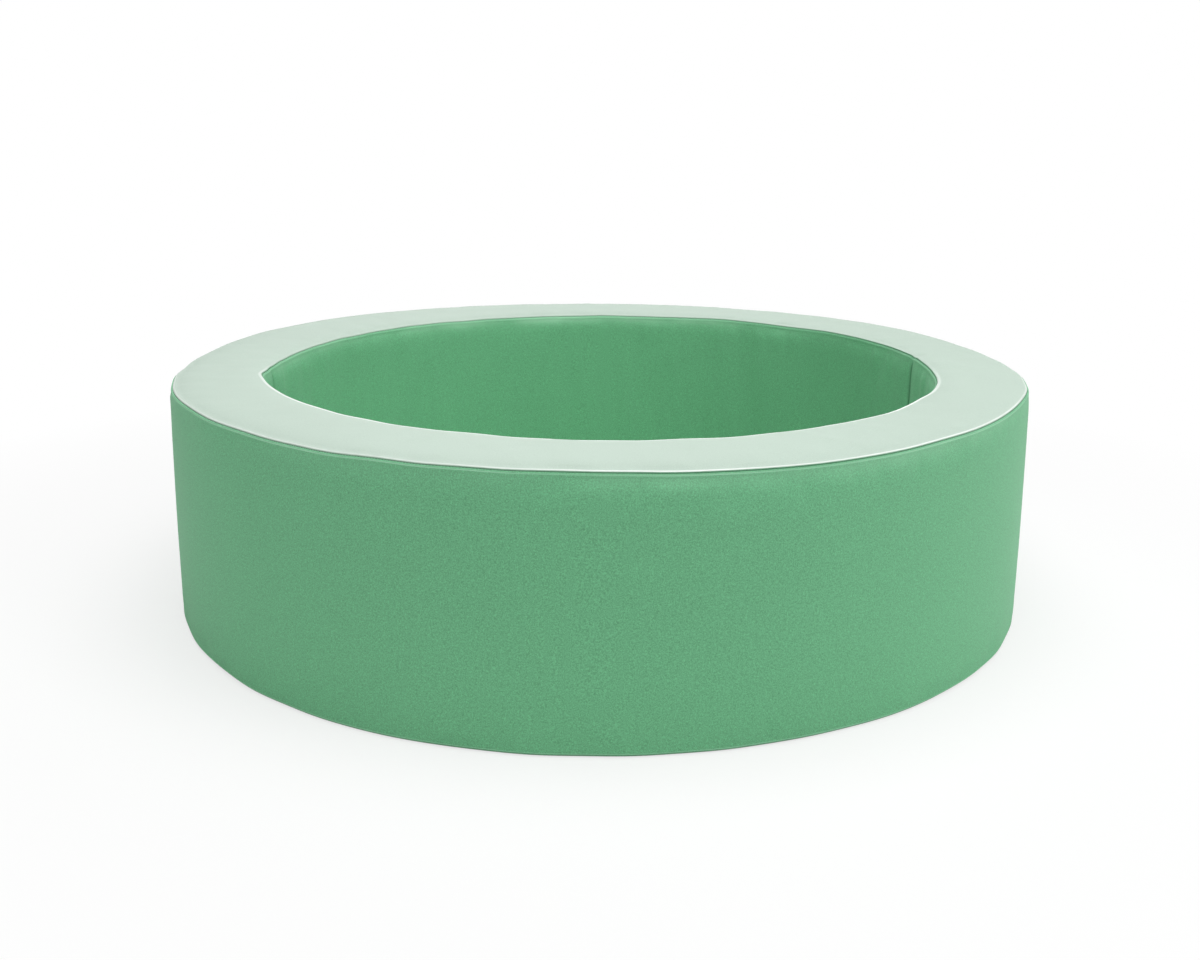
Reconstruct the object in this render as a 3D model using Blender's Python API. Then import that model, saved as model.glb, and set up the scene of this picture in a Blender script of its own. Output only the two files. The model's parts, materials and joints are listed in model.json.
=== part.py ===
"""Round padded ball pit: a foam ring in a sewn leatherette cover, with a lift-out floor mat.

Both covers close with a coil zip let into the underside. Its slider runs round the zip's arc and
its pull swings on the slider. The origin is the middle of the base, on the ground, +Z is up and
-Y is the front. All lengths are in metres and all angles in degrees.
"""

import math

import bmesh
import bpy
from mathutils import Matrix, Vector

# Ring
RING_DIAMETER = 1.300
RING_HEIGHT = 0.350
WALL_THICKNESS = 0.150
RING_EDGE_RADIUS = 0.006
OUTER_BULGE = 0.002
TOP_CROWN = 0.0025
OUTER_SEAM_DRAW = 0.002
PIT_SEAM_DRAW = 0.004

# Floor mat, held by the ring's inner wall
MAT_THICKNESS = 0.040
MAT_EDGE_RADIUS = 0.005
MAT_CROWN = 0.003
MAT_CROWN_WIDTH = 0.080
MAT_FIT = 0.0004
MAT_ZIP_INSET = 0.150

# Covers: leatherette panels whose raw edges turn in at every seam
COVER_THICKNESS = 0.0012
SEAM_ALLOWANCE = 0.010
GAP = 0.0003

# Zips: two tapes with a row of coil each, seen through a slit, in a channel pressed in the foam
TAPE_WIDTH = 0.0158
TAPE_THICKNESS = 0.0008
TAPE_TAIL = 0.005
ROW_GAP = 0.0024
ROW_WIDTH = 0.0032
ROW_HEIGHT = 0.0024
STOP_LENGTH = 0.003
STOP_ROOM = 0.003
SLIT_ROOM = 0.0018
SLIT_END_ROOM = 0.002
CHANNEL_MARGIN = 0.003
CHANNEL_SLOPE = 0.008

# Zip slider
SLIDER_LENGTH = 0.015
SLIDER_FLARE = 0.001
PLATE_THICKNESS = 0.001
DIVIDER_LENGTH = 0.004
DIVIDER_SETBACK = 0.001
ROW_PLAY = 0.0006
LIP_THICKNESS = 0.0008
LIP_HEIGHT = 0.0016
LIP_SETBACK = 0.001
CAP_HEADROOM = 0.0008
BAIL_THICKNESS = 0.0008
BAIL_WIDTH = 0.0014
BAIL_LENGTH = 0.009
BAIL_GROUND_CLEARANCE = 0.0006

# Zip pull
PULL_LENGTH = 0.026
PULL_WIDTH = 0.007
PULL_TIP_WIDTH = 0.005
PULL_THICKNESS = 0.001
PULL_PLAY = 0.0004
PULL_EYE_WIDTH = 0.003
PULL_HOLE_DIAMETER = 0.0024

# Shape shares: crown and bulge points along a face, the slider's outline, the pull's rounded tip
CROWN_SHARES = (0.25, 0.75)
SHOULDER_SHARE = 0.45
CHEEK_SHARE = 0.84
MOUTH_SHARE = 0.6
TIP_CORNER_SHARE = 0.5

# One overrun serves every cut, and points closer than the weld distance merge
OVERRUN = 0.005
WELD_DISTANCE = 0.000003

# Directions round the ring, counted in stations of its cross-section
STEPS_PER_HALF = 24
SEAM_AZIMUTH = 6.0
ZIP_END_STEPS = 1
ZIP_FACETS_PER_STEP = 2
HOLE_SIDES = 12
SMOOTH_ANGLE = 40.0

HALF_TURN = 180.0
STEP = HALF_TURN / STEPS_PER_HALF
ZIP_FROM = SEAM_AZIMUTH + STEP * ZIP_END_STEPS
ZIP_TO = SEAM_AZIMUTH + HALF_TURN - STEP * ZIP_END_STEPS

# Radii
RING_RADIUS = RING_DIAMETER / 2
PIT_RADIUS = RING_RADIUS - WALL_THICKNESS
MAT_RADIUS = PIT_RADIUS - MAT_FIT
MAT_FLAT_RADIUS = MAT_RADIUS - MAT_CROWN_WIDTH
RING_ZIP_RADIUS = RING_RADIUS - WALL_THICKNESS / 2
MAT_ZIP_RADIUS = PIT_RADIUS - MAT_ZIP_INSET

# Heights of a zip's layers, stacked from the ground up
BAIL_TOP = BAIL_GROUND_CLEARANCE + BAIL_THICKNESS
PULL_AXIS_HEIGHT = BAIL_TOP + PULL_PLAY + PULL_THICKNESS / 2
PLATE_BASE = PULL_AXIS_HEIGHT + PULL_THICKNESS / 2 + PULL_PLAY
PLATE_TOP = PLATE_BASE + PLATE_THICKNESS
ROW_BASE = PLATE_TOP + GAP
ROW_TOP = ROW_BASE + ROW_HEIGHT
TAPE_BASE = ROW_TOP + GAP
TAPE_TOP = TAPE_BASE + TAPE_THICKNESS
CAP_BASE = TAPE_TOP + GAP
CAP_TOP = CAP_BASE + PLATE_THICKNESS
CHANNEL_ROOF = CAP_TOP + CAP_HEADROOM
CHANNEL_LIFT = TAPE_BASE - GAP - COVER_THICKNESS

# Half widths across a zip, from its centre line
ROW_INNER = ROW_GAP / 2
ROW_OUTER = ROW_INNER + ROW_WIDTH
TAPE_OUTER = ROW_INNER + TAPE_WIDTH
LIP_INNER = ROW_OUTER + ROW_PLAY
LIP_OUTER = LIP_INNER + LIP_THICKNESS
SLIDER_HALF = LIP_OUTER + SLIDER_FLARE
SLIT_HALF = SLIDER_HALF + SLIT_ROOM
CHANNEL_TOP_HALF = TAPE_OUTER + CHANNEL_MARGIN
CHANNEL_FOOT_HALF = CHANNEL_TOP_HALF + CHANNEL_SLOPE

# Layers of a cover over its foam
LINING = COVER_THICKNESS + GAP
HEM_NEAR = GAP / 2
HEM_FAR = HEM_NEAR + COVER_THICKNESS
HEM_SLOT = HEM_FAR + GAP

# The upright hems of the ring's wall panels stop short of the corner seams' hems
HEM_START = RING_EDGE_RADIUS + SEAM_ALLOWANCE
HEM_END = RING_HEIGHT - TOP_CROWN - RING_EDGE_RADIUS - SEAM_ALLOWANCE

# Directions in a cross-section: radius, height
UP = Vector((0.0, 1.0))
DOWN = Vector((0.0, -1.0))
OUT = Vector((1.0, 0.0))
IN = Vector((-1.0, 0.0))


def clear_scene():
    for old in list(bpy.data.objects):
        bpy.data.objects.remove(old)


def make_material(name, colour, roughness, metallic=0.0):
    material = bpy.data.materials.new(name)
    material.use_nodes = True
    shader = material.node_tree.nodes["Principled BSDF"]
    shader.inputs["Base Color"].default_value = (*colour, 1.0)
    shader.inputs["Roughness"].default_value = roughness
    shader.inputs["Metallic"].default_value = metallic
    return material


def make_object(name, builder, material=None):
    """An object from a bmesh, with its faces turned outwards; the bmesh is used up."""
    bmesh.ops.recalc_face_normals(builder, faces=builder.faces)
    mesh = bpy.data.meshes.new(name)
    builder.to_mesh(mesh)
    builder.free()
    if material:
        mesh.materials.append(material)
    piece = bpy.data.objects.new(name, mesh)
    bpy.context.scene.collection.objects.link(piece)
    return piece


def combine(piece, operation, others):
    """Unite the others with the piece, or cut them from it; the others are used up."""
    for other in others:
        other.hide_render = True
        other.display_type = "WIRE"
        step = piece.modifiers.new(other.name, "BOOLEAN")
        step.operation = operation
        step.solver = "EXACT"
        step.object = other
    bpy.context.view_layer.update()
    graph = bpy.context.evaluated_depsgraph_get()
    result = bpy.data.meshes.new_from_object(piece.evaluated_get(graph))
    piece.modifiers.clear()
    piece.data = result
    for other in others:
        bpy.data.objects.remove(other)
    return piece


# Solids swept round the ring's axis

def bridge(builder, near_first, near_last, far_last, far_first):
    """A face between two stations: one quad where their heights agree, else two triangles.

    The triangles meet on the steeper diagonal, so stacked surfaces fold along the same lines.
    """
    rise = abs(near_first.co.z - far_last.co.z)
    cross_rise = abs(near_last.co.z - far_first.co.z)
    if near_first.co.z == far_first.co.z and near_last.co.z == far_last.co.z:
        builder.faces.new((near_first, near_last, far_last, far_first))
    elif rise > cross_rise:
        builder.faces.new((near_first, near_last, far_last))
        builder.faces.new((near_first, far_last, far_first))
    else:
        builder.faces.new((near_first, near_last, far_first))
        builder.faces.new((near_last, far_last, far_first))


def round_sweep(name, section_at, azimuths, closed=False, material=None):
    """A solid with the cross-section section_at(azimuth), a loop of (radius, height) points."""
    builder = bmesh.new()
    rings = []
    for azimuth in azimuths:
        turn = math.radians(azimuth)
        rings.append([
            builder.verts.new((point.x * math.cos(turn), point.x * math.sin(turn), point.y))
            for point in section_at(azimuth)
        ])
    pairs = list(zip(rings, rings[1:]))
    if closed:
        pairs.append((rings[-1], rings[0]))
    else:
        builder.faces.new(rings[0])
        builder.faces.new(rings[-1])
    for near, far in pairs:
        for index in range(len(near)):
            after = (index + 1) % len(near)
            bridge(builder, near[index], near[after], far[after], far[index])
    bmesh.ops.remove_doubles(builder, verts=builder.verts, dist=WELD_DISTANCE)
    piece = make_object(name, builder, material)
    piece.data.shade_smooth()
    piece.data.set_sharp_from_angle(angle=math.radians(SMOOTH_ANGLE))
    return piece


def rectangle(radii, heights):
    """A rectangular cross-section, as round_sweep takes it."""
    (low, high), (base, top) = radii, heights
    corners = [Vector((low, base)), Vector((high, base)), Vector((high, top)), Vector((low, top))]
    return lambda azimuth: corners


def arc_angle(length, radius):
    return math.degrees(length / radius)


def full_circle():
    return [SEAM_AZIMUTH + STEP * count for count in range(2 * STEPS_PER_HALF)]


def half_circle(start, end_gap):
    """Azimuths of half the ring from start, ending an angle end_gap short of each seam."""
    inner = [start + STEP * count for count in range(1, STEPS_PER_HALF)]
    return [start + end_gap, *inner, start + HALF_TURN - end_gap]


def zip_arc(start, end):
    facets = round((end - start) / STEP) * ZIP_FACETS_PER_STEP
    return [start + (end - start) * count / facets for count in range(facets + 1)]


def seam_share(azimuth):
    """1 on the two upright seams, where the cover is drawn in, and 0 on every other station."""
    off_seam = (azimuth - SEAM_AZIMUTH) % HALF_TURN
    return 1.0 if min(off_seam, HALF_TURN - off_seam) < STEP / 2 else 0.0


def channel_share(azimuth):
    """1 on the stations where a zip's channel has its full depth, and 0 past its ends."""
    return 1.0 if ZIP_FROM - STEP / 2 < azimuth % (2 * HALF_TURN) < ZIP_TO + STEP / 2 else 0.0


# Cross-sections

class Corner:
    """A rounded corner where two panels meet in a seam and turn in side by side.

    The seam lies on the corner's diagonal. Each panel has an outer and an inner line of points,
    from its raw edge, round the corner, to where its flat face starts.
    """

    def __init__(self, tip, side, level, radius):
        self.radius = radius
        self.centre = tip - (side + level) * radius
        self.diagonal = (side + level).normalized()

    def at(self, along, face, across):
        """A point so far along the diagonal from the arc's centre, and across it to the face's side."""
        sideways = face - self.diagonal * face.dot(self.diagonal)
        return self.centre + self.diagonal * along + sideways.normalized() * across

    def line(self, face, radius, across):
        """A panel's line at one side of the leatherette: raw edge, corner seam, start of its face."""
        return [
            self.at(self.radius - SEAM_ALLOWANCE, face, across),
            self.at(math.sqrt(radius * radius - across * across), face, across),
            self.centre + face * radius,
        ]

    def outer_line(self, face):
        return self.line(face, self.radius, HEM_NEAR)

    def inner_line(self, face):
        return self.line(face, self.radius - COVER_THICKNESS, HEM_FAR)

    def foam_line(self, first_face, last_face):
        """The foam's outline round the corner, with the slot that takes the turned-in edges."""
        radius = self.radius - LINING
        mouth = math.sqrt(radius * radius - HEM_SLOT * HEM_SLOT)
        bottom = self.radius - SEAM_ALLOWANCE - GAP
        return [
            self.centre + first_face * radius,
            self.at(mouth, first_face, HEM_SLOT),
            self.at(bottom, first_face, HEM_SLOT),
            self.at(bottom, last_face, HEM_SLOT),
            self.at(mouth, last_face, HEM_SLOT),
            self.centre + last_face * radius,
        ]


def swelling(start, end, swell):
    """Points between start and end that carry a face's crown or bulge; a flat face has none."""
    return [start.lerp(end, share) + swell for share in CROWN_SHARES] if swell else []


def swollen(first, last, swell):
    """A line from the corner line first to the corner line last, swelling between them."""
    return first + swelling(first[-1], last[-1], swell) + last[::-1]


def panel(first, last, face, swell=None):
    """Cross-section of a panel between two corners."""
    outer = swollen(first.outer_line(face), last.outer_line(face), swell)
    inner = swollen(first.inner_line(face), last.inner_line(face), swell)
    return outer + inner[::-1]


def channel_line(zip_radius, flat, lifted, azimuth):
    """A zip channel's line across the base, from the outside in."""
    level = flat + (lifted - flat) * channel_share(azimuth)
    return [
        Vector((zip_radius + CHANNEL_FOOT_HALF, flat)),
        Vector((zip_radius + CHANNEL_TOP_HALF, level)),
        Vector((zip_radius - CHANNEL_TOP_HALF, level)),
        Vector((zip_radius - CHANNEL_FOOT_HALF, flat)),
    ]


def panel_channel(zip_radius, azimuth):
    """Outer and inner line of a base panel across its zip channel."""
    outer = channel_line(zip_radius, 0.0, CHANNEL_LIFT, azimuth)
    inner = channel_line(zip_radius, COVER_THICKNESS, CHANNEL_LIFT + COVER_THICKNESS, azimuth)
    return outer, inner


# Ring

def ring_corners(azimuth):
    """The ring's corners: outer top, outer base, pit base and pit top."""
    outer = RING_RADIUS - OUTER_BULGE - OUTER_SEAM_DRAW * seam_share(azimuth)
    pit = PIT_RADIUS + PIT_SEAM_DRAW * seam_share(azimuth)
    top = RING_HEIGHT - TOP_CROWN
    return (
        Corner(Vector((outer, top)), OUT, UP, RING_EDGE_RADIUS),
        Corner(Vector((outer, 0.0)), OUT, DOWN, RING_EDGE_RADIUS),
        Corner(Vector((pit, 0.0)), IN, DOWN, RING_EDGE_RADIUS),
        Corner(Vector((pit, top)), IN, UP, RING_EDGE_RADIUS),
    )


def outer_wall_section(azimuth):
    outer_top, outer_base, _, _ = ring_corners(azimuth)
    return panel(outer_top, outer_base, OUT, OUT * OUTER_BULGE)


def inner_wall_section(azimuth):
    _, _, pit_base, pit_top = ring_corners(azimuth)
    return panel(pit_base, pit_top, IN)


def top_section(azimuth):
    outer_top, _, _, pit_top = ring_corners(azimuth)
    return panel(pit_top, outer_top, UP, UP * TOP_CROWN)


def base_section(azimuth):
    _, outer_base, pit_base, _ = ring_corners(azimuth)
    channel_outer, channel_inner = panel_channel(RING_ZIP_RADIUS, azimuth)
    outer = outer_base.outer_line(DOWN) + channel_outer + pit_base.outer_line(DOWN)[::-1]
    inner = outer_base.inner_line(DOWN) + channel_inner + pit_base.inner_line(DOWN)[::-1]
    return outer + inner[::-1]


def ring_foam_section(azimuth):
    outer_top, outer_base, pit_base, pit_top = ring_corners(azimuth)
    shoulder = outer_top.foam_line(UP, OUT)
    foot = outer_base.foam_line(OUT, DOWN)
    wall = swelling(shoulder[-1], foot[0], OUT * OUTER_BULGE)
    channel = channel_line(RING_ZIP_RADIUS, LINING, CHANNEL_ROOF, azimuth)
    pit_foot = pit_base.foam_line(DOWN, IN)
    rim = pit_top.foam_line(IN, UP)
    crown = swelling(rim[-1], shoulder[0], UP * TOP_CROWN)
    return shoulder + wall + foot + channel + pit_foot + rim + crown


def seam_box(name, azimuth, radii, across, heights):
    """An upright box at a seam, from its spans of radius, of distance across and of height."""
    builder = bmesh.new()
    bmesh.ops.create_cube(builder, size=1.0)
    low, high = (Vector(corner) for corner in zip(radii, across, heights))
    shape = Matrix.Translation((low + high) / 2) @ Matrix.Diagonal((high - low).to_4d())
    turn = Matrix.Rotation(math.radians(azimuth), 4, "Z")
    bmesh.ops.transform(builder, matrix=turn @ shape, verts=builder.verts)
    return make_object(name, builder)


def seam_radii():
    """Radius of the ring's pit face and outer face on the upright seams."""
    outer_top, _, _, pit_top = ring_corners(SEAM_AZIMUTH)
    return pit_top.centre.x - RING_EDGE_RADIUS, outer_top.centre.x + RING_EDGE_RADIUS


def wall_panel(name, section, start, hem_radii, face_radius, material):
    """Half of a wall, from the seam at start, with its turned-in upright ends."""
    end_gap = arc_angle(HEM_NEAR, face_radius)
    wall = round_sweep(name, section, half_circle(start, end_gap), material=material)
    heights = (HEM_START, HEM_END)
    hems = [
        seam_box("first_hem", start, hem_radii, (HEM_NEAR, HEM_FAR), heights),
        seam_box("last_hem", start + HALF_TURN, hem_radii, (-HEM_FAR, -HEM_NEAR), heights),
    ]
    return combine(wall, "UNION", hems)


def foam_half(name, start, material):
    """Half of the foam ring, rebated at both ends for the wall panels' upright hems."""
    end_gap = arc_angle(HEM_NEAR, PIT_RADIUS)
    half = round_sweep(name, ring_foam_section, half_circle(start, end_gap), material=material)
    pit, outer = seam_radii()
    pit_rebate = (pit - OVERRUN, pit + SEAM_ALLOWANCE + GAP)
    outer_rebate = (outer - SEAM_ALLOWANCE - GAP, outer + OVERRUN)
    heights = (HEM_START - GAP, HEM_END + GAP)
    rebates = [
        seam_box("rebate", azimuth, radii, (-HEM_SLOT, HEM_SLOT), heights)
        for azimuth in (start, start + HALF_TURN)
        for radii in (pit_rebate, outer_rebate)
    ]
    return combine(half, "DIFFERENCE", rebates)


def cut_slit(base, zip_radius):
    """Cut the arc-shaped slit that a zip lies behind into a base panel."""
    extra = arc_angle(SLIT_END_ROOM, zip_radius)
    steps = round((ZIP_TO - ZIP_FROM) / STEP)
    stations = [ZIP_FROM + STEP * count for count in range(steps + 1)]
    section = rectangle((zip_radius - SLIT_HALF, zip_radius + SLIT_HALF),
                        (-OVERRUN, CHANNEL_ROOF + OVERRUN))
    slit = round_sweep("slit", section, [ZIP_FROM - extra, *stations, ZIP_TO + extra])
    return combine(base, "DIFFERENCE", [slit])


def build_ring(foam, green, mint):
    back = SEAM_AZIMUTH
    front = SEAM_AZIMUTH + HALF_TURN
    pit, outer = seam_radii()
    pit_hem = (pit + COVER_THICKNESS / 2, pit + SEAM_ALLOWANCE)
    outer_hem = (outer - SEAM_ALLOWANCE, outer - COVER_THICKNESS / 2)
    foam_half("foam_half_back", back, foam)
    foam_half("foam_half_front", front, foam)
    wall_panel("outer_wall_back", outer_wall_section, back, outer_hem, outer, green)
    wall_panel("outer_wall_front", outer_wall_section, front, outer_hem, outer, green)
    wall_panel("inner_wall_back", inner_wall_section, back, pit_hem, pit, green)
    wall_panel("inner_wall_front", inner_wall_section, front, pit_hem, pit, green)
    round_sweep("top_panel", top_section, full_circle(), closed=True, material=mint)
    base = round_sweep("base_panel", base_section, full_circle(), closed=True, material=mint)
    cut_slit(base, RING_ZIP_RADIUS)


# Floor mat

MAT_TOP_CORNER = Corner(Vector((MAT_RADIUS, MAT_THICKNESS - MAT_CROWN)), OUT, UP, MAT_EDGE_RADIUS)
MAT_BASE_CORNER = Corner(Vector((MAT_RADIUS, 0.0)), OUT, DOWN, MAT_EDGE_RADIUS)


def to_middle(radius, height):
    """A level line from a radius to the axis."""
    return [Vector((radius, height)), Vector((0.0, height))]


def mat_top_section(azimuth):
    outer = MAT_TOP_CORNER.outer_line(UP) + to_middle(MAT_FLAT_RADIUS, MAT_THICKNESS)
    under = MAT_THICKNESS - COVER_THICKNESS
    inner = MAT_TOP_CORNER.inner_line(UP) + to_middle(MAT_FLAT_RADIUS, under)
    return outer + inner[::-1]


def mat_border_section(azimuth):
    return panel(MAT_TOP_CORNER, MAT_BASE_CORNER, OUT)


def mat_base_section(azimuth):
    channel_outer, channel_inner = panel_channel(MAT_ZIP_RADIUS, azimuth)
    outer = MAT_BASE_CORNER.outer_line(DOWN) + channel_outer + [Vector((0.0, 0.0))]
    inner = MAT_BASE_CORNER.inner_line(DOWN) + channel_inner + [Vector((0.0, COVER_THICKNESS))]
    return outer + inner[::-1]


def mat_foam_section(azimuth):
    crown = to_middle(MAT_FLAT_RADIUS, MAT_THICKNESS - LINING)[::-1]
    rim = MAT_TOP_CORNER.foam_line(UP, OUT) + MAT_BASE_CORNER.foam_line(OUT, DOWN)
    channel = channel_line(MAT_ZIP_RADIUS, LINING, CHANNEL_ROOF, azimuth)
    return crown + rim + channel + [Vector((0.0, LINING))]


def build_mat(foam, green, mint):
    circle = full_circle()
    round_sweep("mat_foam", mat_foam_section, circle, closed=True, material=foam)
    round_sweep("mat_top_panel", mat_top_section, circle, closed=True, material=mint)
    round_sweep("mat_border", mat_border_section, circle, closed=True, material=green)
    base = round_sweep("mat_base_panel", mat_base_section, circle, closed=True, material=mint)
    cut_slit(base, MAT_ZIP_RADIUS)


# Zips

def plate(name, outline, base, top, material=None):
    """A flat plate of the given outline, extruded from base to top."""
    builder = bmesh.new()
    face = builder.faces.new([builder.verts.new((x, y, base)) for x, y in outline])
    raised = bmesh.ops.extrude_face_region(builder, geom=[face])
    moved = [item for item in raised["geom"] if isinstance(item, bmesh.types.BMVert)]
    bmesh.ops.translate(builder, verts=moved, vec=Vector((0.0, 0.0, top - base)))
    return make_object(name, builder, material)


def box(name, low, high):
    outline = [(low[0], low[1]), (high[0], low[1]), (high[0], high[1]), (low[0], high[1])]
    return plate(name, outline, low[2], high[2])


def mirrored_outline(right):
    """An outline that is the same left and right, from the points on its right, front last."""
    return right + [(-x, y) for x, y in reversed(right)]


def slider_outline():
    """Shield outline of a slider's plates: X across the zip, +Y towards the wide mouth."""
    front = SLIDER_LENGTH / 2
    return mirrored_outline([
        (LIP_OUTER, -front),
        (SLIDER_HALF, front * SHOULDER_SHARE),
        (SLIDER_HALF, front * CHEEK_SHARE),
        (SLIDER_HALF * MOUTH_SHARE, front),
    ])


def make_slider(name, material):
    """Two plates round the rows, the divider between them, the side lips and the bail."""
    front = SLIDER_LENGTH / 2
    mouth = front - DIVIDER_SETBACK
    inside_plate = PLATE_BASE + PLATE_THICKNESS / 2
    inside_cap = CAP_BASE + PLATE_THICKNESS / 2
    divider = ROW_INNER - ROW_PLAY
    bail = BAIL_LENGTH / 2
    leg = bail - BAIL_THICKNESS
    side = BAIL_WIDTH / 2
    lip_ends = (LIP_SETBACK - front, front * SHOULDER_SHARE)
    lip_top = PLATE_TOP + LIP_HEIGHT
    slider = plate(name, slider_outline(), PLATE_BASE, PLATE_TOP, material)
    return combine(slider, "UNION", [
        plate("cap", slider_outline(), CAP_BASE, CAP_TOP),
        box("divider", (-divider, mouth - DIVIDER_LENGTH, inside_plate), (divider, mouth, inside_cap)),
        box("right_lip", (LIP_INNER, lip_ends[0], inside_plate), (LIP_OUTER, lip_ends[1], lip_top)),
        box("left_lip", (-LIP_OUTER, lip_ends[0], inside_plate), (-LIP_INNER, lip_ends[1], lip_top)),
        box("bail", (-side, -bail, BAIL_GROUND_CLEARANCE), (side, bail, BAIL_TOP)),
        box("front_leg", (-side, leg, BAIL_GROUND_CLEARANCE), (side, bail, inside_plate)),
        box("back_leg", (-side, -bail, BAIL_GROUND_CLEARANCE), (side, -leg, inside_plate)),
    ])


def make_pull(name, material):
    """A flat tapered tab whose eye holds the slider's bail, with its origin on its hinge."""
    half = PULL_THICKNESS / 2
    eye_end = math.hypot(BAIL_LENGTH / 2, PULL_AXIS_HEIGHT - BAIL_GROUND_CLEARANCE) + PULL_PLAY
    side = PULL_WIDTH / 2
    tip_side = PULL_TIP_WIDTH / 2
    corner = tip_side * TIP_CORNER_SHARE
    tip = PULL_LENGTH - half
    outline = mirrored_outline([
        (side, -half),
        (side, eye_end),
        (tip_side, tip - corner),
        (tip_side - corner, tip),
    ])
    pull = plate(name, outline, -half, half, material)
    hole = PULL_HOLE_DIAMETER / 2
    hole_middle = tip - tip_side - hole
    turns = [2 * math.pi * count / HOLE_SIDES for count in range(HOLE_SIDES)]
    hole_outline = [(hole * math.cos(turn), hole_middle + hole * math.sin(turn)) for turn in turns]
    eye = PULL_EYE_WIDTH / 2
    return combine(pull, "DIFFERENCE", [
        box("eye", (-eye, half, -OVERRUN), (eye, eye_end, OVERRUN)),
        plate("tip_hole", hole_outline, -OVERRUN, OVERRUN),
    ])


def build_zip(prefix, radius, tape, coil, metal):
    """A zip round an arc: tapes, rows, stops, and the slider on a turntable at the arc's centre."""
    tail = arc_angle(TAPE_TAIL, radius)
    stop = arc_angle(STOP_LENGTH, radius)
    gap = arc_angle(GAP, radius)
    whole = zip_arc(ZIP_FROM - tail, ZIP_TO + tail)
    between_stops = zip_arc(ZIP_FROM + stop + gap, ZIP_TO - stop - gap)
    for word, side in (("outer", 1.0), ("inner", -1.0)):
        edges = sorted((radius + side * ROW_INNER, radius + side * TAPE_OUTER))
        section = rectangle(edges, (TAPE_BASE, TAPE_TOP))
        round_sweep(f"{prefix}_zip_tape_{word}", section, whole, material=tape)
        edges = sorted((radius + side * ROW_INNER, radius + side * ROW_OUTER))
        section = rectangle(edges, (ROW_BASE, ROW_TOP))
        round_sweep(f"{prefix}_zip_row_{word}", section, between_stops, material=coil)
    section = rectangle((radius - ROW_OUTER, radius + ROW_OUTER), (ROW_BASE, ROW_TOP))
    closed_end = [ZIP_FROM, ZIP_FROM + stop]
    open_end = [ZIP_TO - stop, ZIP_TO]
    round_sweep(f"{prefix}_zip_closed_stop", section, closed_end, material=metal)
    round_sweep(f"{prefix}_zip_open_stop", section, open_end, material=metal)

    rest = arc_angle(STOP_LENGTH + STOP_ROOM + SLIDER_LENGTH / 2, radius)
    turntable = bpy.data.objects.new(f"{prefix}_zip_turntable", None)
    bpy.context.scene.collection.objects.link(turntable)
    turntable.rotation_euler.z = math.radians(ZIP_FROM + rest)
    slider = make_slider(f"{prefix}_zip_slider", metal)
    slider.parent = turntable
    slider.location.x = radius
    pull = make_pull(f"{prefix}_zip_pull", metal)
    pull.parent = slider
    pull.location.z = PULL_AXIS_HEIGHT
    travel = ZIP_TO - ZIP_FROM - 2 * rest
    print(f"{prefix} zip: radius {radius:.4f} m, slider at {ZIP_FROM + rest:.4f} degrees,",
          f"travel {travel:.2f} degrees, pull hinge {PULL_AXIS_HEIGHT:.5f} m up")


def main():
    clear_scene()
    green = make_material("green_leatherette", (0.119, 0.366, 0.188), 0.55)
    mint = make_material("mint_leatherette", (0.624, 0.768, 0.679), 0.55)
    foam = make_material("foam", (0.80, 0.77, 0.66), 0.95)
    tape = make_material("zip_tape", (0.10, 0.30, 0.16), 0.85)
    coil = make_material("zip_coil", (0.09, 0.26, 0.14), 0.45)
    metal = make_material("zip_metal", (0.62, 0.62, 0.60), 0.3, metallic=1.0)
    build_ring(foam, green, mint)
    build_mat(foam, green, mint)
    build_zip("ring", RING_ZIP_RADIUS, tape, coil, metal)
    build_zip("mat", MAT_ZIP_RADIUS, tape, coil, metal)


main()
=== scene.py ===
# %% [markdown]
# # A padded ball pit
#
# A soft-play ball pit is a ring of foam in a sewn cover of leatherette, with a loose padded mat as its
# floor. The walls are green, the top is pale mint. This lesson dresses the plain solids of a CAD model:
# every solid keeps its place, and gets a finer piece, with rolled seams, puckers, grain and stitches.

# %% Load the solids
import json
import math

import bmesh
import bpy
import numpy as np
from mathutils import Matrix, Vector

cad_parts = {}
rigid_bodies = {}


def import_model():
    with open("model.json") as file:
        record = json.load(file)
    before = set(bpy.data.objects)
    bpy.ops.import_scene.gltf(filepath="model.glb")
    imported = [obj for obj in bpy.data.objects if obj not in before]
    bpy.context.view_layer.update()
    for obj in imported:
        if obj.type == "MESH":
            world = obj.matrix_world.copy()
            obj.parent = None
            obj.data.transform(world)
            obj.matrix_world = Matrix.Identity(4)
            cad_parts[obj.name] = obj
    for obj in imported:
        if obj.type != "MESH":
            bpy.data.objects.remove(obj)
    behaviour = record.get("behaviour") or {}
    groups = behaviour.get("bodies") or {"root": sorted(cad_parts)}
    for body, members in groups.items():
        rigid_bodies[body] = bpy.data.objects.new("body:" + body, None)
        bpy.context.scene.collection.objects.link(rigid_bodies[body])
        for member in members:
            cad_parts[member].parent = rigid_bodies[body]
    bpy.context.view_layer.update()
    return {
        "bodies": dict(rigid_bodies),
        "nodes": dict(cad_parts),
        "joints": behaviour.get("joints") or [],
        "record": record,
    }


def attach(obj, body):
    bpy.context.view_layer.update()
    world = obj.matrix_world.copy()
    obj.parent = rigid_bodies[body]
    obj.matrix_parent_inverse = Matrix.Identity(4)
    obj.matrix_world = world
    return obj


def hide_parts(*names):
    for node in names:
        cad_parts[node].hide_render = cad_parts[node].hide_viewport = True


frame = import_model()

# %% A helper for new objects
def linked(name, data):
    """A new object with a mesh, a lamp or a camera, in the scene."""
    made = bpy.data.objects.new(name, data)
    bpy.context.scene.collection.objects.link(made)
    return made


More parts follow.
